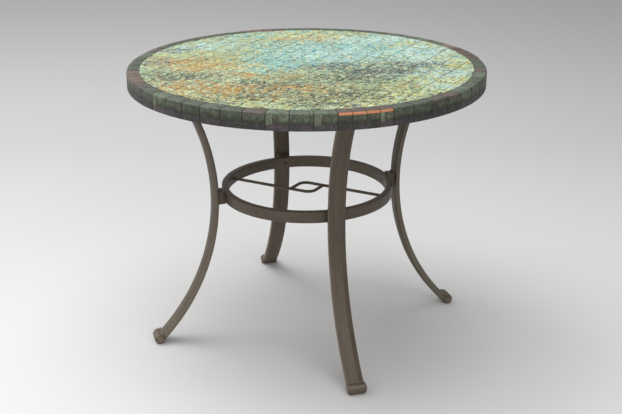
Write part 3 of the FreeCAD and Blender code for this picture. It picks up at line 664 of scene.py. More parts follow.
def make_rim_slate():
    """Honed grey-green and plum slate of the edge tiles."""
    material, tree, shader = new_material("rim_slate")
    place = object_place(tree)
    height = separate(tree, place)["Z"]
    tile = marked_place(tree, "tile_place")
    along = tile["X"]
    chance = tile["Z"]
    mottle = use_group(tree, mottling, {"Place": place, "Cloud scale": 60.0, "Grain scale": 300.0})
    colour, upper = slate_body(tree, height, tile["Y"], mottle)
    colour = add_strips(tree, colour, along, chance, maths(tree, "SUBTRACT", 1.0, upper))
    band_top = maths(tree, "ADD", maths(tree, "MULTIPLY", mottle["Cloud"], BAND_WAVE), BAND_LINE)
    band_tone = blend(tree, mottle["Cloud"], paint(44, 37, 40), paint(74, 63, 67))
    colour = blend(tree, maths(tree, "LESS_THAN", height, band_top), colour, band_tone)
    pits = fade(tree, speckle(tree, place, 110.0, 6.0, 0.8, 0.5), 0.48, 0.38)
    colour = tinted(tree, colour, pits, 0.85, paint(34, 36, 26))
    dust = fade(tree, speckle(tree, place, 130.0, 5.0, 0.85), 0.52, 0.66)
    dust_share = fade(tree, height, BAND_LINE, DUST_FULL, 0.16, 0.5)
    colour = tinted(tree, colour, dust, dust_share, paint(152, 158, 134))
    ends = use_group(tree, tile_ends, {"Along": along})["Mask"]
    colour = tinted(tree, colour, ends, 0.7, paint(34, 34, 26))
    colour = scaled(tree, colour, fade(tree, chance, 0.0, 1.0, 0.68, 1.24))
    roughness = fade(tree, mottle["Grain"], 0.0, 1.0, 0.42, 0.62)
    finish(tree, shader, colour, roughness, bumped(tree, mottle["Grain"], 0.2 * MILLIMETRE, 0.7))
    return material


rim_slate = make_rim_slate()

# %% [markdown]
# Copper
#
# The copper tiles are brown with patina. The height decides which colour a point
# takes: the flat top keeps its plum-brown film with faint brush lines, and the bevel
# and the edge below it are painted bright copper, but only on the front right run:
# partly polished metal, partly a painted highlight along the bevel. The film gets
# darker towards +X.

# %% Build the copper
EDGE_SHINE_DEPTH = 0.6 * MILLIMETRE
EIGHTH_TURN = math.radians(45)


def make_copper():
    """Copper with a brown patina on top and a bright edge that is partly a painted highlight."""
    material, tree, shader = new_material("copper")
    place = object_place(tree)
    brushed = object_place(tree, EIGHTH_TURN, (1, 9, 1))
    mottle = use_group(tree, mottling, {"Place": brushed, "Cloud scale": 12.0, "Grain scale": 60.0})
    film = blend(tree, mottle["Cloud"], paint(92, 77, 67), paint(124, 105, 93))
    film = scaled(tree, film, fade(tree, separate(tree, place)["X"], -0.2, 0.2, 1.0, 0.72))
    # The bright edge colour: partly polished copper, partly a painted highlight.
    polish_and_highlight = blend(tree, mottle["Grain"], paint(200, 132, 94), paint(228, 158, 118))
    shine_top = TABLE_HEIGHT - EDGE_SHINE_DEPTH / 2
    edge = fade(tree, separate(tree, place)["Z"], shine_top, TABLE_HEIGHT - EDGE_SHINE_DEPTH)
    # Only the front right run gets the bright edge with its painted highlight.
    front_right_side = separate(tree, object_place(tree, EIGHTH_TURN))["X"]
    edge = maths(tree, "MULTIPLY", edge, fade(tree, front_right_side, 0.1, 0.3))
    colour = blend(tree, edge, film, polish_and_highlight)
    ends = use_group(tree, tile_ends, {"Along": marked_place(tree, "tile_place")["X"]})["Mask"]
    colour = tinted(tree, colour, ends, 0.7, paint(40, 34, 28))
    roughness = fade(tree, mottle["Grain"], 0.0, 1.0, 0.38, 0.5)
    finish(tree, shader, colour, roughness, bumped(tree, mottle["Grain"], 0.08 * MILLIMETRE, 0.5))
    tree.links.new(fade(tree, edge, 0.0, 1.0, 0.42, 0.75), shader.inputs["Metallic"])
    return material


copper = make_copper()

# %% [markdown]
# Bronzed iron
#
# The legs and the hoop are forged iron under a satin bronze paint that was rubbed
# while wet, so it is taupe with browner and greyer clouds, and paler along its
# ridges. The hammer left shallow dimples. On the legs the streaks run along the
# bar, so there the pattern reads a place that follows the bow. The bar is painted
# lighter towards the foot and darker upwards, as painted shade of the top's shadow.
# Its corners, the fold over the roll, the roll's lip and its two end faces are
# paler: partly wear, partly painted highlight. A dark line of painted shade runs
# along each groove and round each end face, the roll is painted a little darker as
# shade, and the back right leg is painted darker as shade.

# %% Places on a leg, for its finish
BAND_EDGE = 0.0105
FLANK_EDGE = 0.0205
LIP_ANGLE = math.radians(46)
LIP_SPREAD = 0.22
LIP_CORE = 0.06
END_FACE_RADIUS = 0.0098
IRON_SHADE_LINE = paint(50, 44, 37)
IRON_WEAR_AND_HIGHLIGHT = paint(150, 140, 122)


def bar_places(tree):
    """Side, distance along and depth of a point on a leg's bow, and its place in the leg."""
    place = marked_place(tree, "leg_place")
    inward = maths(tree, "SUBTRACT", BOW_CENTRE, place["X"])
    rise = maths(tree, "SUBTRACT", place["Z"], WAIST_HEIGHT)
    along = maths(tree, "MULTIPLY", maths(tree, "ARCTAN2", rise, inward), BOW_RADIUS)
    depth = vector_length(tree, together(tree, inward, rise))
    return together(tree, place["Y"], along, depth), place


def end_masks(tree, distance, across):
    """Masks of the roll's two end faces and of the painted shade line round them."""
    end = ROLL_LENGTH / 2
    near_end = fade(tree, across, end - 3.2 * MILLIMETRE, end - 2.4 * MILLIMETRE)
    face = fade(tree, distance, END_FACE_RADIUS, END_FACE_RADIUS - 1.0 * MILLIMETRE)
    line_in = fade(tree, distance, END_FACE_RADIUS - 1.0 * MILLIMETRE, END_FACE_RADIUS)
    line_out = fade(tree, distance, END_FACE_RADIUS + 1.6 * MILLIMETRE, END_FACE_RADIUS)
    return times(tree, near_end, face), times(tree, line_in, line_out, near_end)


def foot_masks(tree, place, across):
    """Masks of the rolled end with its crease, of its places painted paler as wear and highlight, and
    of its end lines.
    """
    out = maths(tree, "SUBTRACT", place["X"], FOOT_PLACE)
    up = maths(tree, "SUBTRACT", place["Z"], FOOT_CENTRE_HEIGHT)
    distance = vector_length(tree, together(tree, out, up))
    roll = fade(tree, distance, ROLL_RADIUS + 3.6 * MILLIMETRE, ROLL_RADIUS + 2.6 * MILLIMETRE)
    inside = fade(tree, distance, ROLL_RADIUS + 1.4 * MILLIMETRE, ROLL_RADIUS + 0.6 * MILLIMETRE)
    fold = times(tree, maths(tree, "SUBTRACT", roll, inside), fade(tree, up, 0.0, 6 * MILLIMETRE))
    turn = maths(tree, "SUBTRACT", maths(tree, "ARCTAN2", up, out), LIP_ANGLE)
    lip = times(tree, fade(tree, maths(tree, "ABSOLUTE", turn), LIP_SPREAD, LIP_CORE), inside)
    face, end_line = end_masks(tree, distance, across)
    wear_and_highlight = maths(tree, "MAXIMUM", maths(tree, "MAXIMUM", fold, lip), face)
    return roll, wear_and_highlight, end_line


def mark_bar(tree, colour, place):
    """Add a leg's painted shade lines, its paler corners and foot, and its painted shade from top to
    bottom.
    """
    across = maths(tree, "ABSOLUTE", place["Y"])
    inner = fade(tree, across, BAND_EDGE - 0.3 * MILLIMETRE, BAND_EDGE + 0.2 * MILLIMETRE)
    outer = fade(tree, across, BAND_EDGE + 1.6 * MILLIMETRE, BAND_EDGE + 0.8 * MILLIMETRE)
    roll, wear_and_highlight, end_line = foot_masks(tree, place, across)
    on_bar = maths(tree, "SUBTRACT", 1.0, roll)
    # Painted shade: a dark line along each groove beside the middle band.
    colour = tinted(tree, colour, times(tree, inner, outer, on_bar), 0.55, IRON_SHADE_LINE)
    # Painted shade: the roll is made a little darker.
    colour = tinted(tree, colour, roll, 0.12, paint(54, 48, 41))
    # Painted shade: a dark line round each end face of the roll.
    colour = tinted(tree, colour, end_line, 0.6, IRON_SHADE_LINE)
    corner = times(tree, fade(tree, across, FLANK_EDGE, FLANK_EDGE + 1.0 * MILLIMETRE), on_bar)
    # The corners, the fold, the lip and the end faces are painted paler: partly wear, partly painted
    # highlight.
    colour = tinted(tree, colour, maths(tree, "MAXIMUM", corner, wear_and_highlight), 0.28, IRON_WEAR_AND_HIGHLIGHT)
    # Painted shade of the top's shadow: lighter at the foot, darker upwards.
    top_shadow_shade = ramp(tree, place["Z"], 0.02, 0.42, 1.18, 0.86)
    # Painted shade: the back right leg is made darker.
    back_right = separate(tree, object_place(tree, -EIGHTH_TURN))["X"]
    painted_leg_shade = ramp(tree, back_right, 0.1, 0.3, 1.0, 0.82)
    return scaled(tree, colour, times(tree, top_shadow_shade, painted_leg_shade))


# %% Build the bronzed iron
def make_iron(name, follows_bar, shades):
    """Satin bronze paint over hammered iron."""
    material, tree, shader = new_material(name)
    if follows_bar:
        bar, place = bar_places(tree)
        streaked = vector_maths(tree, "MULTIPLY", bar, (1.0, 0.10, 1.0))
    else:
        bar = object_place(tree)
        streaked = bar
    dimples = speckle(tree, bar, 95.0, 2.0, 0.5)
    mottle = use_group(tree, mottling, {"Place": streaked, "Cloud scale": 70.0, "Grain scale": 420.0})
    broad = fade(tree, speckle(tree, bar, 14.0, 3.0), 0.35, 0.65)
    colour = blend(tree, mottle["Cloud"], *shades)
    colour = tinted(tree, colour, broad, 0.4, paint(84, 73, 60))
    colour = tinted(tree, colour, mottle["Grain"], 0.22, paint(112, 102, 88))
    if follows_bar:
        colour = mark_bar(tree, colour, place)
    roughness = fade(tree, mottle["Cloud"], 0.0, 1.0, 0.42, 0.58)
    relief = maths(tree, "ADD", dimples, maths(tree, "MULTIPLY", mottle["Grain"], 0.12))
    finish(tree, shader, colour, roughness, bumped(tree, relief, 0.5 * MILLIMETRE, 0.5))
    shader.inputs["Metallic"].default_value = 0.2
    shader.inputs["Specular IOR Level"].default_value = 0.4
    return material


leg_iron = make_iron("bronzed_iron_bar", True, (paint(76, 67, 57), paint(98, 88, 75)))
frame_iron = make_iron("bronzed_iron", False, (paint(68, 60, 51), paint(86, 78, 67)))

# %% [markdown]
# Grout, board, steel and brass
#
# The joints are filled with a dark cement grout that is matte and sandy. The core is
# a sealed board with a straight grain, seen only from below. The screws are
# blackened steel and the inserts plain brass.

# %% Build the remaining finishes
ROUGHNESS_SPREAD = 0.08


def make_mottled(name, low, high, scales, rough, metallic=0.0, stretch=(1, 1, 1)):
    """A matte or metal finish between two colours, uneven in two sizes."""
    material, tree, shader = new_material(name)
    cloud_scale, grain_scale = scales
    place = object_place(tree, scale=stretch)
    inputs = {"Place": place, "Cloud scale": cloud_scale, "Grain scale": grain_scale}
    mottle = use_group(tree, mottling, inputs)
    even = maths(tree, "MULTIPLY", maths(tree, "ADD", mottle["Cloud"], mottle["Grain"]), 0.5)
    colour = blend(tree, even, paint(*low), paint(*high))
    smoothest = rough - ROUGHNESS_SPREAD
    roughness = fade(tree, mottle["Grain"], 0.0, 1.0, smoothest, rough + ROUGHNESS_SPREAD)
    finish(tree, shader, colour, roughness, bumped(tree, mottle["Grain"], 0.2 * MILLIMETRE, 0.6))
    shader.inputs["Metallic"].default_value = metallic
    return material


grout = make_mottled("grout", (40, 40, 36), (66, 64, 56), (40.0, 700.0), 0.85)
mortar = make_mottled("mortar", (112, 110, 104), (148, 145, 136), (30.0, 500.0), 0.9)
board = make_mottled("core_board", (104, 80, 54), (150, 120, 84), (9.0, 60.0), 0.6, stretch=(0.4, 6, 1))
steel = make_mottled("blackened_steel", (40, 38, 36), (70, 66, 62), (200.0, 900.0), 0.4, 0.8)
brass = make_mottled("insert_brass", (170, 140, 82), (196, 166, 104), (120.0, 900.0), 0.35, 0.9)

# %% [markdown]
# Field tiles
#
# A slate tile is split, honed and tumbled: its face keeps a little of the cleft, its
# edges are softened, and no two sit at quite the same level. Each mosaic sheet is
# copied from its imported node, its edges are rounded, its faces are cut into a fine
# grid, and the points near the top sink by a smooth noise and a chance amount for
# each tile. They only sink, so that the top stays at its height.

# %% Shape the field tiles
CLEFT_DEPTH = 0.22 * MILLIMETRE
CLEFT_SCALE = 60.0
CLEFT_SMOOTHNESS = 1.0
CLEFT_GAP = 2.1
CLEFT_LEVELS = 3
TILE_DROP = 0.18 * MILLIMETRE
CELL_SPACING = 1.37
TILE_EDGE_ROUND = 0.55 * MILLIMETRE
CUTS_PER_TILE = 5
FACE_DEPTH = 1.2 * MILLIMETRE


def cut_at(piece, normal, places):
    """Cut a piece through by parallel planes at these distances from the origin."""
    edit(piece)
    for distance in places:
        bpy.ops.mesh.select_all(action="SELECT")
        bpy.ops.mesh.bisect(plane_co=Vector(normal) * distance, plane_no=normal)
    close_edit()


def grid_places(low, high):
    """Distances of the cut lines between two sides of a sheet."""
    step = TILE_PITCH / CUTS_PER_TILE
    first = math.ceil(low / step)
    last = math.floor(high / step)
    return [index * step for index in range(first, last + 1) if index % CUTS_PER_TILE]


def cleft_drop(point):
    """How far a point of a tile's face lies below the table's level."""
    cell = Vector((math.floor(point.x / TILE_PITCH), math.floor(point.y / TILE_PITCH), 0))
    drop = TILE_DROP * noise.cell(cell * CELL_SPACING)
    face = Vector((point.x, point.y, 0)) * CLEFT_SCALE
    cleft = noise.fractal(face, CLEFT_SMOOTHNESS, CLEFT_GAP, CLEFT_LEVELS)
    return max(0.0, drop + CLEFT_DEPTH * min(1.0, max(0.0, 0.5 + 0.5 * cleft)))


def make_sheet(node):
    """One mosaic sheet of field tiles."""
    piece = node_copy(node, node.replace("field_sheet", "tiles"))
    low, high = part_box(node)
    soften_edges(piece, TILE_EDGE_ROUND)
    cut_at(piece, (1, 0, 0), grid_places(low.x, high.x))
    cut_at(piece, (0, 1, 0), grid_places(low.y, high.y))
    for vertex in piece.data.vertices:
        share = 1.0 - (TABLE_HEIGHT - vertex.co.z) / FACE_DEPTH
        if share > 0:
            vertex.co.z -= share * cleft_drop(vertex.co)
    smooth(piece)
    put_in_place(piece, field_slate, "field_slate", node)


sheet_nodes = sorted(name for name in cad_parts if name.startswith("field_sheet"))
for node in sheet_nodes:
    make_sheet(node)
print("mosaic sheets", len(sheet_nodes))

# %% [markdown]
# Rim tiles
#
# The edge tiles are tumbled a little more than the field. They are copied from
# their nodes, their edges are rounded, and their outer and top faces sink by up to
# a fifth of a millimetre. Each tile's place goes into an attribute, which the slate
# reads for its tone and its strips.

# %% Shape the rim tiles
SLATE_TILES_IN_RUN = 11
COPPER_TILES_IN_RUN = 4
RIM_EDGE_ROUND = 0.8 * MILLIMETRE
RIM_WAVE = 0.18 * MILLIMETRE
RIM_WAVE_SCALE = 75.0
WEAR_REACH = 1.5 * MILLIMETRE
SIDE_CUTS = 6
TILE_SPACING = 1.71
TONE_SEED = 0.3
CHANCE_SEED = 5.3
LAST_TILE_MARGIN = 0.001


def run_angle(point, middle):
    """Angle of a point about the table's axis, from the middle of its run."""
    angle = math.atan2(point.y, point.x) - middle
    return math.atan2(math.sin(angle), math.cos(angle))


def mark_tiles(piece, middle, count, seed):
    """Write each point's place in its tile, and the tile's two chance values."""
    angles = [run_angle(vertex.co, middle) for vertex in piece.data.vertices]
    low = min(angles)
    step = (max(angles) - low) / count
    attribute = piece.data.attributes.new("tile_place", "FLOAT_VECTOR", "POINT")
    for index, angle in enumerate(angles):
        share = min((angle - low) / step, count - LAST_TILE_MARGIN)
        tile = math.floor(share)
        tone = noise.cell(Vector((tile * TILE_SPACING, seed, TONE_SEED)))
        chance = noise.cell(Vector((tile * TILE_SPACING, seed, CHANCE_SEED)))
        attribute.data[index].vector = (share - tile, tone, chance)


def wear_faces(piece):
    """Push a rim piece's outer and top faces in by a smooth noise."""
    for vertex in piece.data.vertices:
        wave = 0.5 + 0.5 * noise.noise(vertex.co * RIM_WAVE_SCALE)
        radius = math.hypot(vertex.co.x, vertex.co.y)
        depth = RIM_WAVE * wave / radius
        if radius > TOP_RADIUS - WEAR_REACH:
            vertex.co.x -= vertex.co.x * depth
            vertex.co.y -= vertex.co.y * depth
        if vertex.co.z > TABLE_HEIGHT - WEAR_REACH:
            vertex.co.z -= RIM_WAVE * wave


def make_rim_run(node, name, middle, count, seed):
    """A run of slate rim tiles."""
    piece = node_copy(node, name)
    low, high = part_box(node)
    soften_edges(piece, RIM_EDGE_ROUND)
    rise = (high.z - low.z) / SIDE_CUTS
    cut_at(piece, (0, 0, 1), [low.z + rise * index for index in range(1, SIDE_CUTS)])
    wear_faces(piece)
    mark_tiles(piece, middle, count, seed)
    smooth(piece)
    put_in_place(piece, rim_slate, "rim_slate", node)


SIDES = ("right", "back", "left", "front")
CORNERS = ("back_right", "back_left", "front_left", "front_right")
QUARTER = math.pi / 2
for index, side in enumerate(SIDES):
    angle = index * QUARTER
    make_rim_run("slate_rim_" + side, "edge_tiles_" + side, angle, SLATE_TILES_IN_RUN, index)
LEG_ANGLES = [QUARTER * (index + 0.5) for index in range(len(CORNERS))]
for seed, (corner, angle) in enumerate(zip(CORNERS, LEG_ANGLES), start=len(SIDES)):
    name = "slate_skirt_" + corner
    make_rim_run("copper_skirt_" + corner, name, angle, COPPER_TILES_IN_RUN, seed)
print("rim runs", len(SIDES) + len(CORNERS))

# %% [markdown]
# Copper tiles
#
# They are copied from their nodes and their edges softened, so that the light
# catches the bevel. It is narrower than the slate's, and smoother.

# %% Shape the copper tiles
COPPER_EDGE_ROUND = 0.45 * MILLIMETRE
COPPER_EDGE_ANGLE = 25.0
for seed, (corner, angle) in enumerate(zip(CORNERS, LEG_ANGLES)):
    node = "copper_rim_" + corner
    piece = node_copy(node, "copper_tiles_" + corner)
    soften_edges(piece, COPPER_EDGE_ROUND, 3, COPPER_EDGE_ANGLE)
    mark_tiles(piece, angle, COPPER_TILES_IN_RUN, seed)
    smooth(piece)
    put_in_place(piece, copper, "copper", node)

# %% [markdown]
# Legs
#
# A leg's section has a flat band in the middle of both faces, a faint groove on each
# side of it, and flanks that slope away to the edges. It could be built as a sweep
# along a curve, but the bow is an arc, so a ring of section points is set at the top
# of the bow and spun down to the foot. The rolled end is turned from an outline, with
# wide rounded rims and slightly dished ends, and a small fold fills its crease.

# %% Section of the bar
# Shares of half the width and of half the thickness, for a quarter of the section
SECTION_SHARES = (
    (0.00, 1.000), (0.20, 1.000), (0.38, 0.998), (0.455, 0.988), (0.485, 0.955), (0.515, 0.942),
    (0.56, 0.930), (0.75, 0.776), (0.90, 0.655), (0.95, 0.600), (0.985, 0.530), (1.00, 0.440),
    (1.00, 0.000),
)


def section_points():
    """Points round the whole section, as offsets outwards and to the side."""
    quarter = [(depth * LEG_THICKNESS / 2, side * LEG_WIDTH / 2) for side, depth in SECTION_SHARES]
    points = quarter[:-1]
    points += [(-depth, side) for depth, side in reversed(quarter)]
    points += [(-depth, -side) for depth, side in quarter[1:-1]]
    points += [(depth, -side) for depth, side in reversed(quarter[1:])]
    return points


# %% Spin the bar and roll the foot
BOW_STEPS = 72
ROLL_SIDES = 56
ROLL_RIM = 7.0 * MILLIMETRE
ROLL_DISH = 0.8 * MILLIMETRE
CREASE_RADIUS = 2.9 * MILLIMETRE
CREASE_RIM = 2.2 * MILLIMETRE
RIM_STEPS = 8


def make_bar():
    """The bowed bar in the XZ plane, level at its top."""
    points = section_points()
    bpy.ops.mesh.primitive_circle_add(vertices=len(points), radius=LEG_WIDTH)
    bar = bpy.context.object
    lift = Matrix.Rotation(TOP_ANGLE, 4, "Y")
    centre = Vector((BOW_CENTRE, 0, WAIST_HEIGHT))
    for vertex, (outward, side) in zip(bar.data.vertices, points):
        vertex.co = centre + lift @ Vector((outward - BOW_RADIUS, side, 0))
    edit(bar)
    bpy.ops.mesh.spin(
        steps=BOW_STEPS, angle=TOP_ANGLE + FOOT_ANGLE, center=centre, axis=(0, 1, 0),
    )
    close_edit()
    if min(vertex.co.z for vertex in bar.data.vertices) > WAIST_HEIGHT:
        raise RuntimeError("the bar was spun upwards")
    edit(bar)
    bpy.ops.mesh.fill_holes(sides=0)
    bpy.ops.mesh.select_all(action="SELECT")
    bpy.ops.mesh.normals_make_consistent(inside=False)
    bpy.ops.mesh.bisect(plane_co=(0, 0, LEG_TOP), plane_no=(0, 0, 1), use_fill=True, clear_outer=True)
    close_edit()
    return bar


def round_end(radius, half_length, rim, inset=0.0):
    """Half outline of one end of a turned bar, as radius and place along it."""
    outline = [(0.0, half_length - inset), (radius - rim - inset, half_length - inset)]
    for step in range(RIM_STEPS + 1):
        turn = QUARTER * step / RIM_STEPS
        outline.append((radius - rim + rim * math.sin(turn), half_length - rim + rim * math.cos(turn)))
    return outline


def make_turned(end, place):
    """A bar along Y, turned from the outline of its end about a line through a place."""
    outline = [(radius, -along) for radius, along in end] + end[::-1]
    mesh = bpy.data.meshes.new("turned")
    points = [(place.x + radius, along, place.y) for radius, along in outline]
    mesh.from_pydata(points, [(index, index + 1) for index in range(len(points) - 1)], [])
    piece = bpy.data.objects.new("turned", mesh)
    bpy.context.scene.collection.objects.link(piece)
    edit(piece)
    bpy.ops.mesh.spin(steps=ROLL_SIDES, angle=2 * math.pi, center=(place.x, 0, place.y), axis=(0, 1, 0))
    close_surface()
    return piece


def make_roll():
    """The rolled end, with round rims, dished ends and a flat where the floor has ground it down."""
    end = round_end(ROLL_RADIUS, ROLL_LENGTH / 2, ROLL_RIM, ROLL_DISH)
    roll = make_turned(end, Vector((FOOT_PLACE, FOOT_CENTRE_HEIGHT)))
    edit(roll)
    bpy.ops.mesh.bisect(plane_co=(0, 0, 0), plane_no=(0, 0, 1), use_fill=True, clear_inner=True)
    close_edit()
    return roll


def crease_place():
    """Where the bar's outer face meets the roll, from the two circles' crossing."""
    bow = Vector((BOW_CENTRE, WAIST_HEIGHT))
    foot = Vector((FOOT_PLACE, FOOT_CENTRE_HEIGHT))
    face_radius = BOW_RADIUS - LEG_THICKNESS / 2
    reach = (foot - bow).length
    along = (face_radius**2 - ROLL_RADIUS**2 + reach**2) / (2 * reach)
    aside = math.sqrt(face_radius**2 - along**2)
    way = (foot - bow) / reach
    across = Vector((way.y, -way.x))
    if across.y < 0:
        across = -across
    return bow + way * along + across * aside


def make_crease():
    """The small fold of the bar's end that lies between the bar and the roll."""
    return make_turned(round_end(CREASE_RADIUS, LEG_WIDTH / 2, CREASE_RIM), crease_place())


def mark_leg(leg):
    """Write each point's place in the first leg, before it is turned to its corner."""
    attribute = leg.data.attributes.new("leg_place", "FLOAT_VECTOR", "POINT")
    for index, vertex in enumerate(leg.data.vertices):
        attribute.data[index].vector = vertex.co


leg_pattern = join([make_bar(), make_roll(), make_crease()], "leg_pattern")
for vertex in leg_pattern.data.vertices:
    vertex.co.z = max(vertex.co.z, 0.0)
mark_leg(leg_pattern)
for corner, angle in zip(CORNERS, LEG_ANGLES):
    leg = turned_copy(leg_pattern, "bowed_leg_" + corner, angle)
    smooth(leg)
    put_in_place(leg, leg_iron, "bronzed_iron", "leg_" + corner)
bpy.data.objects.remove(leg_pattern)

# %% [markdown]
# Hoop and rods
#
# The hoop is a flat bar rolled into a ring, so its section is a rounded rectangle
# spun once round the axis. Its four screw holes are cut through it with a wider sink
# for the head. A rod is a round bar: a circle is drawn out straight, spun through
# its bend and drawn on to the other rod.

# %% Spin the hoop
HOOP_THICKNESS = 0.016
HOOP_CORNER = 1.3 * MILLIMETRE
HOOP_STEPS = 160
SCREW_HOLE_RADIUS = 2.3 * MILLIMETRE
SINK_RADIUS = 3.8 * MILLIMETRE
SINK_DEPTH = 0.006
HOLE_SIDES = 24
BORE_RADIUS = HOOP_RADIUS - HOOP_THICKNESS


def make_hoop():
    """The hoop with its screw holes."""
    middle = HOOP_RADIUS - HOOP_THICKNESS / 2
    place = (middle, 0, WAIST_HEIGHT)
    bpy.ops.mesh.primitive_plane_add(size=1, location=place, rotation=(QUARTER, 0, 0))
    hoop = bpy.context.object
    hoop.scale = (HOOP_THICKNESS, hoop_high.z - hoop_low.z, 1)
    place_in_mesh(hoop)
    edit(hoop)
    bpy.ops.mesh.bevel(offset=HOOP_CORNER, segments=4, affect="VERTICES")
    bpy.ops.mesh.delete(type="ONLY_FACE")
    bpy.ops.mesh.select_all(action="SELECT")
    bpy.ops.mesh.spin(steps=HOOP_STEPS, angle=2 * math.pi, center=(0, 0, 0), axis=(0, 0, 1))
    close_surface()
    for angle in LEG_ANGLES:
        sink = radial_drill(SINK_RADIUS, BORE_RADIUS - SINK_DEPTH, BORE_RADIUS + SINK_DEPTH, angle)
        combine(hoop, sink, "DIFFERENCE")
        hole = radial_drill(SCREW_HOLE_RADIUS, BORE_RADIUS, HOOP_RADIUS + SINK_DEPTH, angle)
        combine(hoop, hole, "DIFFERENCE")
    return hoop


def radial_drill(radius, start, end, angle):
    """A cylinder that points away from the axis at the waist."""
    bpy.ops.mesh.primitive_cylinder_add(
        vertices=HOLE_SIDES, radius=radius, depth=end - start,
        location=((start + end) / 2, 0, WAIST_HEIGHT), rotation=(0, QUARTER, 0),
    )
    drill = bpy.context.object
    place_in_mesh(drill)
    drill.data.transform(Matrix.Rotation(angle, 4, "Z"))
    return drill


hoop_ring = make_hoop()
hoop_ring.name = "waist_hoop"
smooth(hoop_ring)
put_in_place(hoop_ring, frame_iron, "bronzed_iron", "hoop")

# %% Bend the rods
ROD_RADIUS = 0.004
ROD_OFFSET = 0.032
ROD_TURN_PLACE = 0.030
ROD_MEET_PLACE = 0.032
ROD_BEND_RADIUS = 0.022
ROD_SIDES = 24
BEND_STEPS = 16


def make_rod():
    """A bent rod from the hoop's bore to the middle of the other rod."""
    start_x = -math.sqrt(BORE_RADIUS**2 - ROD_OFFSET**2) - ROD_RADIUS / 2
    turn = math.atan2(2 * ROD_OFFSET, ROD_MEET_PLACE - ROD_TURN_PLACE)
    setback = ROD_BEND_RADIUS * math.tan(turn / 2)
    bend_x = ROD_TURN_PLACE - setback
    slant = math.hypot(2 * ROD_OFFSET, ROD_MEET_PLACE - ROD_TURN_PLACE) - setback
    bpy.ops.mesh.primitive_circle_add(
        vertices=ROD_SIDES, radius=ROD_RADIUS, location=(start_x, -ROD_OFFSET, WAIST_HEIGHT),
        rotation=(0, QUARTER, 0), fill_type="NGON",
    )
    rod = bpy.context.object
    place_in_mesh(rod)
    edit(rod)
    bpy.ops.mesh.extrude_region_move(TRANSFORM_OT_translate={"value": (bend_x - start_x, 0, 0)})
    bend_centre = (bend_x, ROD_BEND_RADIUS - ROD_OFFSET, WAIST_HEIGHT)
    bpy.ops.mesh.spin(steps=BEND_STEPS, angle=-turn, center=bend_centre, axis=(0, 0, 1))
    slant_run = (slant * math.cos(turn), slant * math.sin(turn), 0)
    bpy.ops.mesh.extrude_region_move(TRANSFORM_OT_translate={"value": slant_run})
    close_surface()
    return rod


rod_pattern = make_rod()
for node, angle in (("rod_left", 0.0), ("rod_right", math.pi)):
    rod = turned_copy(rod_pattern, "bent_" + node, angle)
    smooth(rod)
    put_in_place(rod, frame_iron, "bronzed_iron", node)
bpy.data.objects.remove(rod_pattern)

# %% [markdown]
# Lugs, plates and weld beads
#
# The lugs and the mounting plates are cut from bar and sheet, so they are copies of
# their nodes with softened edges. Each leg has two weld beads: one round the lug
# where it meets the leg, and one round the leg's top where it meets its plate. A
# bead is a thin tube along the joint whose thickness ripples as the welder moved.

# %% Lugs and plates
LUG_EDGE_ROUND = 1.0 * MILLIMETRE
PLATE_EDGE_ROUND = 0.8 * MILLIMETRE
for corner in CORNERS:
    lug = node_copy("lug_" + corner, "hoop_lug_" + corner)
    soften_edges(lug, LUG_EDGE_ROUND, 3)
    smooth(lug)
    put_in_place(lug, frame_iron, "bronzed_iron", "lug_" + corner)
    plate = node_copy("mounting_plate_" + corner, "top_plate_" + corner)
    soften_edges(plate, PLATE_EDGE_ROUND)
    smooth(plate)
    put_in_place(plate, frame_iron, "bronzed_iron", "mounting_plate_" + corner)

# %% Weld beads
BEAD_RADIUS = 1.7 * MILLIMETRE
RIPPLE_LENGTH = 3.2 * MILLIMETRE
RIPPLE_SHARE = 0.22
BEAD_STEP = 1.1 * MILLIMETRE
LUG_HALF_WIDTH = 0.015
LUG_HALF_HEIGHT = 0.0175
FLANK_FALL = 0.4


def stations(corners, closed):
    """Evenly spaced points along straight runs between corners."""
    points = []
    ends = corners[1:] + corners[:1] if closed else corners[1:]
    for start, end in zip(corners, ends):
        count = max(1, round((end - start).length / BEAD_STEP))
        points += [start.lerp(end, index / count) for index in range(count)]
    return points if closed else points + [corners[-1]]


def make_bead(corners, closed=True):
    """A rippled bead along a line of corners."""
    points = stations([Vector(corner) for corner in corners], closed)
    bpy.ops.curve.primitive_nurbs_path_add()
    path = bpy.context.object
    path.data.splines.clear()
    spline = path.data.splines.new("POLY")
    spline.points.add(len(points) - 1)
    for index, (station, point) in enumerate(zip(spline.points, points)):
        station.co = (*point, 1)
        ripple = math.sin(2 * math.pi * index * BEAD_STEP / RIPPLE_LENGTH)
        station.radius = 1 + RIPPLE_SHARE * ripple
    spline.use_cyclic_u = closed
    path.data.dimensions = "3D"
    path.data.bevel_depth = BEAD_RADIUS
    path.data.bevel_resolution = 2
    path.data.use_fill_caps = True
    select_only(path)
    bpy.ops.object.convert(target="MESH")
    return bpy.context.object


def leg_face_radius(height, depth_share):
    """Distance of a line along the bar from the table's axis at a height."""
    radius = BOW_RADIUS - depth_share * LEG_THICKNESS / 2
    return BOW_CENTRE - math.sqrt(radius**2 - (height - WAIST_HEIGHT) ** 2)


def across_face(height, half_width, face):
    """Points across a face of the bar at a height: flank, band and flank."""
    share = 1 - (half_width - BAND_EDGE) / (LEG_WIDTH / 2 - BAND_EDGE) * FLANK_FALL
    flank = leg_face_radius(height, face * share)
    band = leg_face_radius(height, face)
    return [
        (flank, -half_width, height), (band, -BAND_EDGE, height),
        (band, BAND_EDGE, height), (flank, half_width, height),
    ]


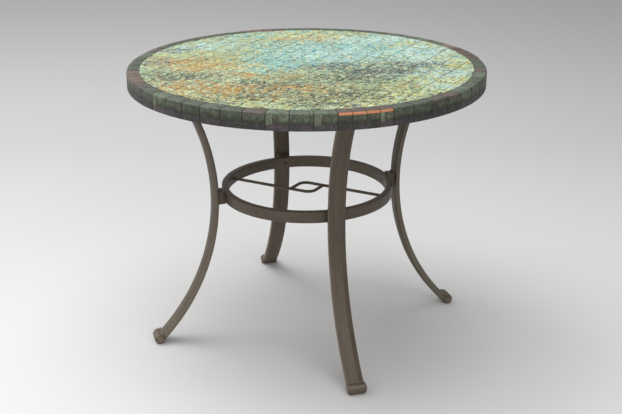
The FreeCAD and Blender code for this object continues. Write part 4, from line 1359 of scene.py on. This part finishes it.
def make_leg_beads():
    """Beads round the lug at the leg and round the leg's top at its plate."""
    low = across_face(WAIST_HEIGHT - LUG_HALF_HEIGHT, LUG_HALF_WIDTH, -1)
    high = across_face(WAIST_HEIGHT + LUG_HALF_HEIGHT, LUG_HALF_WIDTH, -1)
    lug_bead = make_bead(low + high[::-1])
    inner = across_face(LEG_TOP, LEG_WIDTH / 2, -1)
    outer = across_face(LEG_TOP, LEG_WIDTH / 2, 1)
    top_bead = make_bead(inner + outer[::-1])
    return join([lug_bead, top_bead], "beads")


bead_pattern = make_leg_beads()
for corner, angle in zip(CORNERS, LEG_ANGLES):
    beads = turned_copy(bead_pattern, "weld_beads_" + corner, angle)
    smooth(beads, math.pi)
    put_in_place(beads, frame_iron, "bronzed_iron")
bpy.data.objects.remove(bead_pattern)

# %% [markdown]
# Screws
#
# A button head screw is a low dome with a hexagon socket. One is modelled from a
# cylinder, its dome by a wide bevel and its socket by a cut, and copied to every
# hole. The hoop's cap screws are made the same way, with a taller head.

# %% Model and place the screws
SCREW_SIDES = 28
SOCKET_SIDES = 6
PLATE_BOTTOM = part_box("mounting_plate_front_left")[0].z
PLATE_LENGTH = 0.080
PLATE_WIDTH = 0.070
HOLE_INSET = 0.012
LEG_TOP_PLACE = leg_face_radius(LEG_TOP, 0)
# The head's radius and height, the width of its dome, the socket's radius, and the
# shank's radius and length
BUTTON_SCREW = (0.0055, 0.0033, 0.0014, 0.0023, 0.003, 0.016)
CAP_SCREW = (0.0035, 0.004, 0.0004, 0.0017, 0.002, 0.0216)


def upright_cylinder(sides, radius, length, middle):
    """A cylinder along Z round the origin's axis, its middle at a height."""
    bpy.ops.mesh.primitive_cylinder_add(
        vertices=sides, radius=radius, depth=length, location=(0, 0, middle),
    )
    piece = bpy.context.object
    place_in_mesh(piece)
    return piece


def make_screw(head_radius, head_height, dome, socket_radius, shank_radius, shank_length):
    """A screw along Z, its head's seat at the origin and its shank upwards."""
    screw = upright_cylinder(SCREW_SIDES, head_radius, head_height, -head_height / 2)
    select_edges(screw, lambda point: point.z < -head_height + MERGE_DISTANCE)
    bpy.ops.mesh.bevel(offset=dome, segments=4)
    close_edit()
    socket = upright_cylinder(SOCKET_SIDES, socket_radius, head_height, -head_height)
    combine(screw, socket, "DIFFERENCE")
    shank = upright_cylinder(SCREW_SIDES, shank_radius, shank_length, shank_length / 2)
    combine(screw, shank, "UNION")
    return screw


def place_screws(pattern, places, name, node):
    """Copies of a screw at several places, joined into one piece."""
    copies = []
    for matrix in places:
        copy = turned_copy(pattern, name, 0.0)
        copy.data.transform(matrix)
        copies.append(copy)
    bpy.data.objects.remove(pattern)
    screws = join(copies, name)
    smooth(screws)
    put_in_place(screws, steel, "fastener_steel", node)


plate_places = []
hoop_places = []
head_seat = BORE_RADIUS + SINK_DEPTH
for angle in LEG_ANGLES:
    turn = Matrix.Rotation(angle, 4, "Z")
    seat = Matrix.Translation((head_seat, 0, WAIST_HEIGHT))
    hoop_places.append(turn @ seat @ Matrix.Rotation(QUARTER, 4, "Y"))
    for along in (-1, 1):
        for across in (-1, 1):
            reach = LEG_TOP_PLACE + along * (PLATE_LENGTH / 2 - HOLE_INSET)
            spread = across * (PLATE_WIDTH / 2 - HOLE_INSET)
            plate_places.append(turn @ Matrix.Translation((reach, spread, PLATE_BOTTOM)))
place_screws(make_screw(*BUTTON_SCREW), plate_places, "button_screws", "plate_screws")
place_screws(make_screw(*CAP_SCREW), hoop_places, "cap_screws", "hoop_screws")

# %% [markdown]
# Nodes that stay
#
# The grout nets, the mortar, the board and the inserts have the right shape as they
# are, so they only take their materials.

# %% Materials of the nodes that stay
KEPT_NODES = {
    "field_grout": grout, "rim_grout": grout, "mortar_bed": mortar,
    "core_board": board, "threaded_inserts": brass,
}
for node, material in KEPT_NODES.items():
    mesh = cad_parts[node].data
    mesh.materials.clear()
    mesh.materials.append(material)

# %% [markdown]
# Floor and light
#
# The table stands on a pale floor in soft studio light. The floor's colour is
# painted darker towards the far side and to the right, as painted shade of the light
# falling off. A broad lamp from the upper left gives the shadows their direction,
# one overhead keeps the darkest shade under the table, a weaker one in front lights
# the legs, and a world that is brighter on the left fills the rest.

# %% Lay the floor and set the lights
FLOOR_SIZE = 60.0
bpy.ops.mesh.primitive_plane_add(size=FLOOR_SIZE)
floor = bpy.context.object
floor.name = "studio_floor"
floor_material, tree, shader = new_material("studio_floor")
seen = separate(tree, object_place(tree, -VIEW_HEADING))
# Painted shade: the floor's colour darkens to the far side and to the right.
far_shade = ramp(tree, seen["Y"], -1.0, 1.6)
right = ramp(tree, seen["X"], -2.0, 2.0)
pale = blend(tree, far_shade, paint(237, 237, 237), paint(201, 201, 201))
shaded = blend(tree, far_shade, paint(208, 208, 208), paint(187, 187, 187))
tree.links.new(blend(tree, right, pale, shaded), shader.inputs["Base Color"])
shader.inputs["Roughness"].default_value = 0.9
shader.inputs["Specular IOR Level"].default_value = 0.1
floor.data.materials.append(floor_material)

WORLD_LIGHT = 1.30
world = bpy.data.worlds.new("studio")
bpy.context.scene.world = world
world.use_nodes = True
sky = world.node_tree
background = sky.nodes["Background"]
background.inputs["Color"].default_value = paint(238, 238, 238)
direction = sky.nodes.new("ShaderNodeTexCoord").outputs["Generated"]
inputs = {0: direction, 1: from_view(-1, 0, 0)}
leftward = add_node(sky, "ShaderNodeVectorMath", inputs, operation="DOT_PRODUCT").outputs["Value"]
strength = ramp(sky, leftward, -1, 1, 0.0, WORLD_LIGHT)
sky.links.new(strength, background.inputs["Strength"])

LAMP_WIDTH = 2.8
LAMP_AIM = from_view(0, 0, 0.5)


def add_lamp(name, place, power):
    """A square lamp at a place seen from the viewer, turned towards the table."""
    data = bpy.data.lights.new(name, "AREA")
    data.shape = "SQUARE"
    data.size = LAMP_WIDTH
    data.energy = power
    lamp = bpy.data.objects.new(name, data)
    bpy.context.scene.collection.objects.link(lamp)
    lamp.location = from_view(*place)
    lamp.rotation_euler = (LAMP_AIM - lamp.location).to_track_quat("-Z", "Y").to_euler()


add_lamp("key_lamp", (-2.2, 1.1, 4.0), 81)
add_lamp("top_lamp", (0.0, 0.4, 4.2), 68)
add_lamp("fill_lamp", (1.6, -3.0, 2.4), 48)
